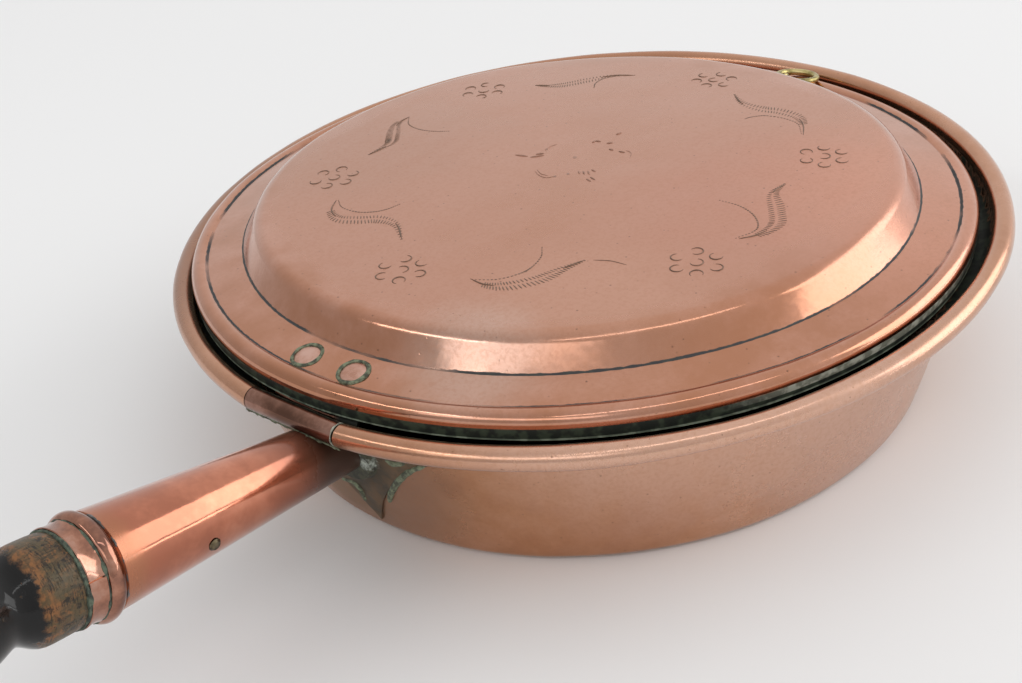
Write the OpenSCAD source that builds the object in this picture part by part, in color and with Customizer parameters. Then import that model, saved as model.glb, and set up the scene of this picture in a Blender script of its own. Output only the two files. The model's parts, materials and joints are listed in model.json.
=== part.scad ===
// Copper bed warming pan with a hinged lid and a turned wooden handle.
// Millimetres. Origin: centre of the pan's underside. +Z up, handle towards +X.

/* [Pan] */
// Outer diameter over the rolled rim
rim_d = 300; // [280:1:330]
// Height of the rim's wire above the surface the pan stands on
rim_h = 60; // [50:1:80]
// Diameter of the flat base
base_d = 238; // [215:1:242]
// Radius of the corner between base and wall
base_corner = 4; // [3:0.5:8]
// How far the wall bellies out from a straight cone
wall_bulge = 0.8; // [0:0.1:2]
// Thickness of the pan's copper sheet
pan_t = 1.1; // [0.9:0.1:1.3]
// Diameter of the iron wire in the rolled rim
wire_d = 5; // [4.4:0.1:5.4]
// Width from the top of the wall to the rim's wire
ledge_w = 12.8; // [12:0.1:14]
// Depth of the lid's ledge below the rim's wire
ledge_depth = 8.4; // [8:0.1:9.5]
// Radius of the turn from ledge up to the rolled rim
riser_r = 4.5; // [3:0.1:5]
// Rise of the ledge towards the rim, in degrees
ledge_slope = 12; // [4:0.5:14]
// Radius of the bend from wall to ledge
ledge_bend = 2.5; // [1:0.5:3]

/* [Lid] */
// Thickness of the lid's copper sheet
lid_t = 0.9; // [0.7:0.1:1]
// Gap between the lid's bead and the rolled rim
lid_gap = 2.4; // [2.2:0.1:3.2]
// Width of the half-round bead round the lid
bead_w = 6.2; // [5.6:0.1:6.6]
// Depth of the bead's middle below the band's edge
bead_sink = 2.1; // [1:0.1:2.4]
// Width of the flat band between bead and dome
band_w = 13.7; // [13:0.1:15]
// Fall of the band from the dome to the bead
band_fall = 2.4; // [1.8:0.1:3]
// Height of the dome's shoulder above its foot
dome_h = 10.2; // [9:0.1:14]
// How much the dome's side leans in over its height
dome_lean = 6.6; // [3:0.1:8]
// Radius of the dome's shoulder
dome_round = 6; // [3:0.1:7]
// Rise of the dome's crown above its shoulder
dome_crown = 2.2; // [1:0.1:5]
// Depth of the skirt below the bead's middle
skirt_h = 5; // [4:0.1:5.6]
// How much the skirt leans in at its edge
skirt_lean = 0.3; // [0:0.1:0.8]
// Play of the old hinge towards the handle
lid_play_x = 0.8; // [0:0.1:0.9]
// Play of the old hinge across the handle
lid_play_y = -1.7; // [-1.7:0.1:1.7]

/* [Hinge] */
// Turn of the hinge away from the handle's line
hinge_turn = -1.7; // [-3:0.1:0]
// Width of the gap in the rim for the knuckle
hinge_w = 39.5; // [38:0.5:46]
// Play at the knuckle's worn end
end_play = 0.8; // [0:0.1:1]
// Thickness of the strap's sheet
strap_t = 1.1; // [0.9:0.1:1.2]
// Height of the skirt's edge above the wire at the hinge
skirt_lift = 2.1; // [1.8:0.1:2.6]
// Distance between the two rivets, as a share of the hinge's width
rivet_spread = 0.505; // [0.4:0.005:0.52]
// Turn of the rivets' middle from the handle's line, round the lid
rivet_turn = -0.3; // [-1.5:0.1:1.5]
// Diameter of a rivet's flattened head
rivet_head_d = 9.8; // [8:0.1:10]
// Height of a rivet's head
rivet_head_h = 0.6; // [0.4:0.1:1]
// Diameter of a rivet's shank
rivet_d = 4; // [3:0.1:4.6]

/* [Lift ring] */
// Outer diameter of the brass ring
ring_d = 18.5; // [17.5:0.1:20]
// Diameter of the ring's wire
ring_wire = 2.7; // [2.3:0.1:2.8]
// Diameter of the eye's wire
eye_wire = 1.3; // [1:0.1:1.4]
// Place of the eye round the lid, from the handle
eye_turn = 171; // [160:1:190]

/* [Handle socket] */
// Height of the socket's middle line below the rim's wire, at the socket's inner mark
socket_drop = 14.8; // [14:0.1:16]
// Distance of that mark from the rim's outer edge, inwards
socket_inset = 10; // [6:0.5:13]
// Rise of the handle
handle_rise = 12.8; // [10:0.1:14]
// Socket's diameter at the mark
socket_d = 19.4; // [17:0.1:20]
// Socket's diameter where its taper ends at the collar
taper_d = 29.5; // [28.6:0.1:31]
// Socket's diameter at its mouth, under the seamed band
mouth_d = 27.6; // [27:0.1:28.4]
// Length from the mark to the socket's mouth
socket_len = 97.5; // [88:0.5:112]
// Thickness of the socket's sheet
socket_t = 1.1; // [0.8:0.1:1.4]
// Width of the bead soldered round the socket
collar_w = 4.8; // [4.6:0.1:6]
// Height of that bead above the socket's mouth
collar_h = 2.2; // [1.5:0.1:2.4]
// Width of the seamed band at the mouth
lip_w = 5.3; // [5:0.1:7]
// Thickness of the seamed band
lip_t = 0.8; // [0.6:0.1:1]
// Turn of the band's seam above the level
seam_turn = 18; // [-60:1:60]
// Thickness of the star plate on the wall
plate_t = 1; // [0.8:0.1:1.3]
// Reach of the plate's arms to the sides
plate_reach = 34; // [30:0.5:36]
// Reach of the plate's lower arm
plate_down = 38; // [34:0.5:40]
// Width of the solder fillet round the socket's foot
solder_w = 2.2; // [1.6:0.1:2.8]
// Diameter of the nail's shank
nail_d = 2.4; // [2:0.1:3]
// Diameter of the nail's head
nail_head_d = 4; // [3.4:0.1:5]
// Place of the nail along the socket
nail_at = 56; // [50:1:60]
// Turn of the nail below the level
nail_turn = 15; // [0:1:40]

/* [Handle] */
// Length of wood that shows past the socket's mouth
handle_len = 625; // [500:5:720]
// Length of the wooden spigot inside the socket
spigot_len = 66; // [60:1:72]
// Diameter of the worn bulb next to the socket
bulb_d = 28.1; // [27.8:0.1:30]
// Diameter at the thickest of the long grip
grip_d = 27; // [24:0.5:30]
// Diameter at the grip's slender end
grip_end_d = 19; // [17:0.5:22]
// Diameter of the knob at the end
knob_d = 27; // [25:0.5:30]
// Diameter of the hanging hole through the knob
hang_d = 8; // [6:0.5:9]

/* [Clearances] */
// Radial running clearance of the knuckle on its wire
run_fit = 0.05; // [0.03:0.01:0.1]
// Clearance of rivets, nail and spigot in their holes
seat_fit = 0.05; // [0.03:0.01:0.1]
// Gap between moving parts that rest near each other
rest_gap = 0.3; // [0.2:0.05:0.35]

/* [Hidden] */

round_fn = 180;
small_fn = 48;

// Rolled rim and the hinge's wire
bead_r = wire_d / 2 + run_fit + strap_t;
bore_r = wire_d / 2 + run_fit;
rim_bead_r = wire_d / 2 + run_fit + pan_t;
rim_r = rim_d / 2 - rim_bead_r;
gap_angle = asin(hinge_w / 2 / rim_r);
axis_x = rim_r * cos(gap_angle);
knuckle_cut = max(bead_r, rim_bead_r) + rest_gap;
wire_bend = wire_d * tan(gap_angle / 2);

// Pan's section, along the middle of its sheet, from the wire's height
floor_z = pan_t / 2 - rim_h;
wall_r = rim_r - ledge_w;
base_r = base_d / 2 + base_corner / 2;
roll_r = bore_r + pan_t / 2;
riser_x = rim_r - roll_r - riser_r;
ledge_x = riser_x + riser_r * sin(ledge_slope);
ledge_out = [ledge_x, (ledge_x - wall_r) * tan(ledge_slope) - ledge_depth];
riser_c = [riser_x, ledge_out[1] + riser_r * cos(ledge_slope)];

// Lid's section, along the middle of its sheet, from the dome's foot
bead_mid_r = bead_w / 2;
lid_r = rim_r - rim_bead_r - lid_gap - lid_t / 2;
bead_c = [lid_r - bead_mid_r, -band_fall - bead_sink];
bead_start = 180 - asin(bead_sink / bead_mid_r);
band_end = bead_c[0] + bead_mid_r * cos(bead_start);
foot_r = band_end - band_w;
skirt_end = [lid_r - skirt_lean, bead_c[1] - skirt_h];
skirt_low = skirt_end[1] - 0.05;

// The lid sits high on its hinge and falls until its far edge meets the ledge
lid_z = skirt_lift - skirt_low;
lid_cx = lid_play_x;
lid_cy = lid_play_y;
seat_r = lid_r + lid_t / 2;
ledge_top = (seat_r - wall_r) * tan(ledge_slope) - ledge_depth + pan_t / 2;
lid_span = axis_x + skirt_end[0] - lid_cx;
lid_drop = asin((skirt_lift - ledge_top - rest_gap) / lid_span);

// Hinge strap
band_slope = atan(band_fall / band_w);
leaf_gap = rest_gap + seat_fit;
knuckle_w = hinge_w - 2 * rest_gap - end_play;
leaf_reach = norm([axis_x - lid_cx, lid_cy]);
leaf_half = asin(knuckle_w / 2 / leaf_reach);
leaf_turn = hinge_turn + atan2(-lid_cy, axis_x - lid_cx);
leaf_under = lid_t / 2 + leaf_gap + strap_t / 2;
rivet_r = foot_r + band_w * 0.58;
rivet_pitch = hinge_w * rivet_spread;
rivet_out = rivet_head_d / 2;

// Lift ring and its eye
ring_r = (ring_d - ring_wire) / 2;
eye_hole_r = ring_wire / 2 + seat_fit * 3;
eye_r = eye_hole_r + eye_wire / 2;
eye_out = eye_r + eye_wire / 2;
eye_at = foot_r + eye_out - 0.4;
band_at_eye = lid_t / 2 - (eye_at - foot_r) * tan(band_slope);
eye_z = band_at_eye + eye_out;
crest_dx = bead_c[0] - eye_at;
crest_dz = eye_z - bead_c[1];
crest_r = bead_mid_r + lid_t / 2 + ring_wire / 2 + rest_gap;
ring_rest = asin(crest_r / norm([crest_dx, crest_dz])) - atan2(crest_dz, crest_dx);

// Socket and handle, along the handle's own middle line
lip_at = socket_len - lip_w;
collar_at = lip_at - collar_w / 2 - 0.3;
taper_at = collar_at - collar_w / 2 - 0.4;
socket_x = rim_d / 2 - socket_inset;
socket_taper = (taper_d - socket_d) / 2 / (taper_at - 0.6);
mouth_r = mouth_d / 2;
tube_in = socket_inset + 20;
taper_end = taper_at - 0.6;
ledge_low = -ledge_depth - 0.55 * pan_t / cos(ledge_slope) - 0.1;
spigot_slack = 0.2;

function unit(v) = v / norm(v);
function left(v) = [-v[1], v[0]];
function arc(c, r, a0, a1, n) =
    [for (i = [0:n]) let (a = a0 + (a1 - a0) * i / n) c + r * [cos(a), sin(a)]];

// Corner p1 of a bent sheet, rounded to radius r
function bend(p0, p1, p2, r, n) =
    let (d0 = unit(p0 - p1), d2 = unit(p2 - p1), half = acos(d0 * d2) / 2,
        c = p1 + unit(d0 + d2) * r / sin(half), reach = r / tan(half),
        s = p1 + d0 * reach - c, e = p1 + d2 * reach - c,
        a0 = atan2(s[1], s[0]), turn = atan2(e[1], e[0]) - a0,
        short = turn > 180 ? turn - 360 : turn < -180 ? turn + 360 : turn)
    arc(c, r, a0, a0 + short, n);

// Outline of a sheet of thickness t whose middle follows path
function miter(path, i) =
    let (a = i > 0 ? left(unit(path[i] - path[i - 1])) : left(unit(path[1] - path[0])),
        b = i < len(path) - 1 ? left(unit(path[i + 1] - path[i])) : a)
    (a + b) / (1 + a * b);
function sheet(path, t) =
    let (last = len(path) - 1)
    concat([for (i = [0:last]) path[i] + miter(path, i) * t / 2],
        [for (i = [last:-1:0]) path[i] - miter(path, i) * t / 2]);
function turned_sheet(path, t) = [for (p = sheet(path, t)) [max(p[0], 0), p[1]]];

// Wall from the base corner to the ledge, bellied by wall_bulge
wall_foot = [base_r, floor_z];
wall_head = [wall_r, -ledge_depth];
function wall_point(u) = wall_foot + (wall_head - wall_foot) * u
    + [wall_bulge * 4 * u * (1 - u), 0];
wall_steps = 8;
floor_path = concat([[0, floor_z]],
    bend([0, floor_z], wall_foot, wall_point(1 / wall_steps), base_corner, 5));
pan_path = concat(floor_path,
    [for (i = [2:wall_steps - 1]) wall_point(i / wall_steps)],
    bend(wall_point((wall_steps - 1) / wall_steps), wall_head, ledge_out, ledge_bend, 5),
    arc(riser_c, riser_r, ledge_slope - 90, 0, 7),
    arc([rim_r, 0], roll_r, 180, -125, 22));
skin_path = concat(floor_path, [for (i = [2:wall_steps + 1]) wall_point(i / wall_steps)]);

// Lid from its crown to the edge of its skirt
shoulder = [foot_r - dome_lean, dome_h];
crown_r = (pow(shoulder[0], 2) + pow(dome_crown, 2)) / (2 * dome_crown);
crown_steps = 10;
function crown_point(i) =
    let (a = asin(shoulder[0] / crown_r) * i / crown_steps)
    [crown_r * sin(a), dome_h + dome_crown - crown_r * (1 - cos(a))];
lid_path = concat([for (i = [0:crown_steps - 1]) crown_point(i)],
    bend(crown_point(crown_steps - 1), shoulder, [foot_r, 0], dome_round, 7),
    [[foot_r, 0]],
    arc(bead_c, bead_mid_r, bead_start, 0, 12),
    [skirt_end]);

// Frames: the rim's height, the closed lid and the handle's line
module at_rim() { translate([0, 0, rim_h]) children(); }
module at_hinge() { at_rim() rotate([0, 0, hinge_turn]) translate([axis_x, 0, 0]) children(); }
module at_lid() {
    at_hinge() rotate([0, -lid_drop, 0]) translate([lid_cx - axis_x, lid_cy, lid_z])
        rotate([0, 0, -hinge_turn]) children();
}
module along_handle() {
    translate([socket_x, 0, rim_h - socket_drop]) rotate([0, 90 - handle_rise, 0]) children();
}
module across(length, r) { rotate([90, 0, 0]) cylinder(h = length, r = r, center = true, $fn = small_fn); }

module pan_skin(grow) {
    last = len(skin_path) - 1;
    at_rim() rotate_extrude($fn = round_fn)
        polygon(concat([for (i = [0:last]) skin_path[i] - miter(skin_path, i) * (pan_t / 2 + grow)],
            [[0, skin_path[last][1]]]));
}

module pan_bowl() {
    color("#b5725a") difference() {
        at_rim() rotate_extrude($fn = round_fn) polygon(turned_sheet(pan_path, pan_t));
        at_hinge() translate([-bead_r, -hinge_w / 2, -ledge_depth - 1])
            cube([3 * knuckle_cut, hinge_w, ledge_depth + 1 + 2 * knuckle_cut]);
    }
}

// The wire's round bends at both ends of the hinge are balls between its straight and curved stretches
module rim_wire() {
    end = gap_angle + asin(wire_bend / rim_r);
    color("#4a403a") at_rim() rotate([0, 0, hinge_turn]) union() {
        rotate([0, 0, end]) rotate_extrude(angle = 360 - 2 * end, $fn = round_fn)
            translate([rim_r, 0]) circle(r = wire_d / 2, $fn = small_fn);
        translate([axis_x, 0, 0]) across(hinge_w - 2 * wire_bend, wire_d / 2);
        for (side = [-1, 1]) translate([axis_x, side * hinge_w / 2, 0])
            sphere(r = wire_d / 2 - run_fit, $fn = small_fn);
    }
}

module rivet_places() {
    at_lid() for (side = [-1, 1]) rotate([0, 0, rivet_turn + side * asin(rivet_pitch / 2 / rivet_r)])
        translate([rivet_r, 0, -(rivet_r - foot_r) * tan(band_slope)]) rotate([0, band_slope, 0])
            children();
}

module eye_place() {
    at_lid() rotate([0, 0, eye_turn]) translate([eye_at, 0, eye_z]) children();
}

module lid_shell() {
    color("#c08068") difference() {
        at_lid() rotate_extrude($fn = round_fn) polygon(turned_sheet(lid_path, lid_t));
        rivet_places() cylinder(h = 6, r = rivet_d / 2 + seat_fit, center = true, $fn = small_fn);
        eye_place() translate([0, 0, -eye_out - 3]) cylinder(h = 6, r = eye_wire + seat_fit, $fn = small_fn);
    }
}

module hinge_strap() {
    mid_r = bore_r + strap_t / 2;
    inner = [foot_r + 1.8, -1.8 * tan(band_slope) - leaf_under];
    turn = [band_end - 1.2, -(band_w - 1.2) * tan(band_slope) - leaf_under];
    knee = [lid_r - 3, -lid_z - mid_r + 0.8];
    end = [leaf_reach, -lid_z - mid_r];
    leaf = concat([inner], bend(inner, turn, knee, 1.5, 4), bend(turn, knee, end, 2, 4), [end]);
    color("#8a5a4c") difference() {
        union() {
            at_hinge() translate([0, -end_play / 2, 0]) across(knuckle_w, bead_r);
            at_lid() rotate([0, 0, leaf_turn - leaf_half])
                rotate_extrude(angle = 2 * leaf_half, $fn = round_fn) polygon(sheet(leaf, strap_t));
        }
        at_hinge() across(hinge_w + 2, bore_r);
        rivet_places() cylinder(h = 12, r = rivet_d / 2 + seat_fit, center = true, $fn = small_fn);
    }
}

module hinge_rivets() {
    grip = lid_t / 2 + leaf_gap + strap_t + 0.4;
    color("#c58a74") rivet_places() {
        translate([0, 0, lid_t / 2 + 0.03]) cylinder(h = rivet_head_h, r1 = rivet_out, r2 = rivet_out - 0.5,
            $fn = small_fn);
        translate([0, 0, -grip]) cylinder(h = grip + lid_t / 2 + 0.03, r = rivet_d / 2, $fn = small_fn);
        translate([0, 0, -grip - 0.9]) cylinder(h = 0.9, r1 = rivet_d / 2 + 0.6, r2 = rivet_d / 2 + 1.2,
            $fn = small_fn);
    }
}

module ring_eye() {
    leg_z = -eye_out - lid_t - 1.2 * eye_wire;
    color("#c9a350") eye_place() {
        rotate([90, 0, 0]) rotate_extrude($fn = small_fn) translate([eye_r, 0])
            circle(r = eye_wire / 2, $fn = 32);
        translate([0, 0, leg_z]) cylinder(h = -leg_z - eye_r, r = eye_wire, $fn = small_fn);
        translate([0, 0, leg_z]) rotate([90, 0, 0])
            cylinder(h = 9, r = eye_wire / 2, center = true, $fn = small_fn);
    }
}

module lift_ring() {
    color("#d2b060") eye_place() rotate([0, -ring_rest, 0]) translate([ring_r, 0, 0])
        rotate_extrude($fn = 96) translate([ring_r, 0]) circle(r = ring_wire / 2, $fn = 32);
}

// Four arms with hollow sides, seen along the handle; its middle is the socket's middle
plate_z = rim_h - socket_drop - (socket_x - wall_r) * tan(handle_rise);
star_tips = [[plate_reach, 1], [0, socket_drop], [-plate_reach, 1], [0, -plate_down]];
module star_outline() {
    difference() {
        polygon(star_tips);
        for (k = [0:3]) {
            a = star_tips[k];
            b = star_tips[(k + 1) % 4];
            out = unit(a + b) - unit(b - a) * (unit(a + b) * unit(b - a));
            half = norm(b - a) / 2;
            sag = half * 0.175;
            r = (half * half + sag * sag) / (2 * sag);
            translate((a + b) / 2 + unit(out) * (r - sag)) circle(r = r, $fn = round_fn);
        }
    }
}

module handle_plate() {
    color("#7d6a50") difference() {
        intersection() {
            pan_skin(plate_t);
            translate([wall_r - plate_down, 0, plate_z]) rotate([90, 0, 90]) linear_extrude(height = 2 * plate_down)
                star_outline();
            translate([0, -rim_d / 2, base_corner + 2])
                cube([rim_d, rim_d, rim_h - ledge_depth - pan_t - base_corner - 3]);
        }
        pan_skin(0);
    }
}

module socket_solder() {
    color("#9fb09a") difference() {
        intersection() {
            pan_skin(plate_t + solder_w);
            along_handle() translate([0, 0, -tube_in]) cylinder(h = tube_in + 2 * solder_w,
                r1 = socket_d / 2 + 4 * solder_w, r2 = socket_d / 2, $fn = 96);
            translate([0, -rim_d / 2, 0]) cube([rim_d, rim_d, rim_h - ledge_depth - pan_t]);
        }
        pan_skin(plate_t);
        along_handle() translate([0, 0, -tube_in]) cylinder(h = taper_end + tube_in,
            r1 = socket_d / 2 - tube_in * socket_taper + seat_fit, r2 = taper_d / 2 + seat_fit, $fn = 96);
    }
}

// Room above the socket for the pan's ledge and the turning knuckle
module room_above() {
    cut_x = axis_x - bead_r + rest_gap;
    at_rim() rotate_extrude($fn = round_fn) polygon([[0, ledge_low], [wall_r, ledge_low],
        [cut_x, ledge_low + (cut_x - wall_r) * tan(ledge_slope)], [cut_x, rim_h], [0, rim_h]]);
    at_hinge() across(hinge_w, bead_r + rest_gap);
}

module socket_tube() {
    mid = socket_t / 2;
    path = [[socket_d / 2 - tube_in * socket_taper - mid, -tube_in], [taper_d / 2 - mid, taper_end],
        [mouth_r - mid, taper_at + 0.1], [mouth_r - mid, socket_len]];
    color("#c4775a") difference() {
        along_handle() rotate_extrude($fn = 96) polygon(sheet(path, socket_t));
        pan_skin(plate_t);
        room_above();
        nail_place() cylinder(h = taper_d, r = nail_d / 2 + seat_fit, $fn = small_fn);
    }
}

module nail_place() {
    along_handle() translate([0, 0, nail_at]) rotate([0, 0, 90 - nail_turn]) rotate([0, 90, 0]) children();
}

module socket_collar() {
    half = collar_w / 2;
    color("#c98265") along_handle() translate([0, 0, collar_at]) rotate_extrude($fn = 96)
        polygon(concat([[mouth_r, -half], [mouth_r, half]],
            [for (i = [0:12]) let (a = 90 - 15 * i) [mouth_r + 0.2 + (collar_h - 0.2) * cos(a), half * sin(a)]]));
}

module socket_lip() {
    color("#bd7458") along_handle() translate([0, 0, lip_at]) difference() {
        rotate_extrude($fn = 96) polygon([[mouth_r, 0], [mouth_r, lip_w], [mouth_r + lip_t, lip_w],
            [mouth_r + lip_t - 0.2, lip_w * 0.8], [mouth_r + lip_t - 0.3, lip_w / 2],
            [mouth_r + lip_t - 0.2, lip_w * 0.2], [mouth_r + lip_t, 0]]);
        rotate([0, 0, 90 + seam_turn]) translate([0, -0.15, -1]) cube([mouth_d, 0.3, lip_w + 2]);
    }
}

module handle_nail() {
    head_r = socket_d / 2 + (nail_at + nail_head_d / 2) * socket_taper + seat_fit;
    color("#5b4a3c") nail_place() {
        translate([0, 0, head_r - 9]) cylinder(h = 9.2, r = nail_d / 2, $fn = small_fn);
        translate([0, 0, head_r]) cylinder(h = 0.7, r1 = nail_head_d / 2, r2 = nail_head_d / 2 - 0.6,
            $fn = small_fn);
    }
}

// Turned outline of the handle: radius, distance past the socket's mouth
bulb = bulb_d / 2;
grip = grip_d / 2;
thin = grip_end_d / 2;
knob = knob_d / 2;
turned = concat(
    [[mouth_r, 0.15], [bulb - 0.1, 3], [bulb, 7], [bulb, 10], [bulb - 0.4, 12], [bulb - 1.2, 13.5],
     [bulb - 2.2, 15], [bulb - 3.1, 16.5], [bulb - 3.5, 18], [bulb - 3.3, 19.5], [bulb - 2.7, 21],
     [bulb - 1.8, 23.5], [bulb - 0.8, 26.5], [bulb, 29.5], [bulb + 0.3, 32.5], [bulb - 0.2, 35.5],
     [bulb - 1.8, 37.5], [grip - 3, 40], [grip - 3.4, 46]],
    [for (i = [1:12]) let (u = i / 12)
        [thin + (grip - 3.4 - thin) * (1 - u) + 3.4 * sin(180 * sqrt(u)),
         46 + (handle_len - 46 - 3 * knob) * u]],
    [[thin + 2.6, handle_len - 2.9 * knob], [thin + 3.2, handle_len - 2.75 * knob],
     [thin + 2.6, handle_len - 2.6 * knob], [thin + 0.2, handle_len - 2.5 * knob],
     [thin - 1.6, handle_len - 2.35 * knob], [thin - 1.8, handle_len - 2.1 * knob],
     [thin - 1.6, handle_len - 1.7 * knob], [0, handle_len - 1.7 * knob]]);

module wood_handle() {
    spigot_r = mouth_r - socket_t - spigot_slack;
    tip_r = socket_d / 2 + (socket_len - spigot_len) * socket_taper - socket_t - spigot_slack;
    color("#2a201b") difference() {
        along_handle() translate([0, 0, socket_len]) {
            rotate_extrude($fn = 96) polygon(concat([[0, -spigot_len], [tip_r - 0.8, -spigot_len], [tip_r, 1.5 - spigot_len],
                [spigot_r, taper_at - socket_len - 4], [spigot_r, 0.15]], turned));
            translate([0, 0, handle_len - knob]) sphere(r = knob, $fn = 96);
        }
        along_handle() translate([0, 0, socket_len + handle_len - knob]) across(knob_d + 10, hang_d / 2);
        nail_place() cylinder(h = taper_d, r = nail_d / 2 + seat_fit, $fn = small_fn);
    }
}

pan_bowl();
rim_wire();
lid_shell();
hinge_strap();
hinge_rivets();
ring_eye();
lift_ring();
handle_plate();
socket_solder();
socket_tube();
socket_collar();
socket_lip();
handle_nail();
wood_handle();
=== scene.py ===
"""Looks of a copper bed warming pan with a hinged lid and a turned wooden handle.

Sizes are in millimetres in the classes and become metres when a piece is placed.
"""

import json
import logging
import math
import random
from dataclasses import dataclass, field
from enum import Enum
from typing import Callable, Dict, Iterable, Iterator, List, Optional, Sequence, Tuple, Union

import bmesh
import bpy
from bmesh.types import BMesh, BMVert
from bpy.types import Material, Node, NodeSocket, NodeTree, Object
from mathutils import Matrix, Vector, noise

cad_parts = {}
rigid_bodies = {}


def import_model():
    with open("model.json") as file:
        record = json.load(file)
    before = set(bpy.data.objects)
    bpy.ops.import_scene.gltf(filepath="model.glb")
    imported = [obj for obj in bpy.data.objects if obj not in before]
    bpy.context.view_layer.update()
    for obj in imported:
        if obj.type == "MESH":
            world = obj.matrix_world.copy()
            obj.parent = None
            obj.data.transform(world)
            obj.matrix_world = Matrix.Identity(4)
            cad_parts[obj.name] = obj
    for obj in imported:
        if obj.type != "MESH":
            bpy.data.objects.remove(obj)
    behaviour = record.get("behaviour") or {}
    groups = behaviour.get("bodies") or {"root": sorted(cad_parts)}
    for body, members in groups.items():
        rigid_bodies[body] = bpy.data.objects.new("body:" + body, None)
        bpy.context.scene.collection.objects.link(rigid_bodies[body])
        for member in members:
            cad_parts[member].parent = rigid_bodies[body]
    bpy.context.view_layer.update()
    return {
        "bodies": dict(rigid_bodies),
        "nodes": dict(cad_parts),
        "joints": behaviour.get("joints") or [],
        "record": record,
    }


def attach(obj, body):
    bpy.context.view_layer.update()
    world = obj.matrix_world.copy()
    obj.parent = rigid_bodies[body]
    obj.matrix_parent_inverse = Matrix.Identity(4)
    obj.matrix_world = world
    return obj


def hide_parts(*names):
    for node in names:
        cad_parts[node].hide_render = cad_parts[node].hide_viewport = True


LOG = logging.getLogger("warming_pan")
MM = 0.001
Point2 = Tuple[float, float]
Point3 = Tuple[float, float, float]
Colour = Tuple[float, float, float]
Value = Union[float, Tuple[float, ...], NodeSocket]


class Body(Enum):
    """The rigid bodies that new pieces ride on."""

    PAN = "pan"
    LID = "lid"


class Slot(Enum):
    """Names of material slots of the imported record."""

    PAN = "pan_copper"
    LID = "lid_copper"
    DARK = "dark_copper"
    SOLDER = "solder"
    WOOD = "ebonised_wood"


# ---------------------------------------------------------------- frames


def direction(azimuth: float, elevation: float) -> Vector:
    """Returns the unit vector that points to an azimuth and an elevation in degrees."""
    a, e = math.radians(azimuth), math.radians(elevation)
    return Vector((math.cos(a) * math.cos(e), math.sin(a) * math.cos(e), math.sin(e)))


def turned(degrees: float, axis: str) -> Matrix:
    """Returns a turn by an angle in degrees round an axis."""
    return Matrix.Rotation(math.radians(degrees), 4, axis)


@dataclass(frozen=True)
class Frames:
    """Where the lid, the hinge and the handle stand in the row's frame."""

    rim_h: float = 60.0
    hinge_turn: float = -1.7
    axis_x: float = 145.0112
    lid_drop: float = 1.65902
    lid_z: float = 11.65
    lid_x: float = 0.8
    lid_y: float = -1.7
    handle_x: float = 140.0
    handle_drop: float = 14.8
    handle_rise: float = 12.8

    def pan(self) -> Matrix:
        """Returns the pan's own frame, at the height of the rim's wire."""
        return Matrix.Translation((0, 0, self.rim_h))

    def hinge(self) -> Matrix:
        """Returns the hinge's frame: its Y runs along the wire, +X outwards."""
        return self.pan() @ turned(self.hinge_turn, "Z") @ Matrix.Translation((self.axis_x, 0, 0))

    def lid(self) -> Matrix:
        """Finds the closed lid's frame.

        Returns:
            The frame: its Z is the dome's axis, 0 at the dome's foot.
        """
        return (
            self.hinge()
            @ turned(-self.lid_drop, "Y")
            @ Matrix.Translation((self.lid_x - self.axis_x, self.lid_y, self.lid_z))
            @ turned(-self.hinge_turn, "Z")
        )

    def handle(self) -> Matrix:
        """Returns the handle's frame: its Z is the handle's middle line, X points down."""
        foot = Matrix.Translation((self.handle_x, 0, self.rim_h - self.handle_drop))
        return foot @ turned(90 - self.handle_rise, "Y")


FRAMES = Frames()


# ---------------------------------------------------------------- flat outlines


def arc(c: Point2, r: float, a0: float, a1: float, n: int) -> List[Point2]:
    """Points on an arc.

    Args:
        c: Centre.
        r: Radius.
        a0: First angle in degrees.
        a1: Last angle in degrees.
        n: Number of steps.

    Returns:
        n + 1 points.
    """
    angles = [math.radians(a0 + (a1 - a0) * i / n) for i in range(n + 1)]
    return [(c[0] + r * math.cos(a), c[1] + r * math.sin(a)) for a in angles]


def bend(p0: Point2, p1: Point2, p2: Point2, r: float, n: int) -> List[Point2]:
    """Rounds the corner p1 of a line that comes from p0 and goes to p2.

    Args:
        p0: Point before the corner.
        p1: Corner.
        p2: Point after the corner.
        r: Radius of the round.
        n: Number of steps.

    Returns:
        The points of the round.
    """
    a, b, c = Vector(p0), Vector(p1), Vector(p2)
    d0, d2 = (a - b).normalized(), (c - b).normalized()
    half = math.acos(max(-1.0, min(1.0, d0.dot(d2)))) / 2
    centre = b + (d0 + d2).normalized() * (r / math.sin(half))
    s = b + d0 * (r / math.tan(half)) - centre
    e = b + d2 * (r / math.tan(half)) - centre
    a0, a1 = math.degrees(math.atan2(s.y, s.x)), math.degrees(math.atan2(e.y, e.x))
    turn = (a1 - a0 + 180) % 360 - 180
    return arc((centre.x, centre.y), r, a0, a0 + turn, n)


def sheet_outline(path: Sequence[Point2], t: float) -> List[Point2]:
    """Outline of a bent sheet whose middle follows a path.

    Args:
        path: Middle line.
        t: Thickness.

    Returns:
        The points of one side followed by those of the other side backwards.
    """
    pts = [Vector(p) for p in path]
    sides: Tuple[List[Point2], List[Point2]] = ([], [])
    for i, p in enumerate(pts):
        before = (p - pts[i - 1]).normalized() if i else (pts[1] - p).normalized()
        after = (pts[i + 1] - p).normalized() if i < len(pts) - 1 else before
        a, b = Vector((-before.y, before.x)), Vector((-after.y, after.x))
        off = (a + b) / (1 + a.dot(b)) * (t / 2)
        for side, sign in zip(sides, (1, -1)):
            q = p + off * sign
            side.append((max(q.x, 0.0), q.y))
    return sides[0] + sides[1][::-1]


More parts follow.
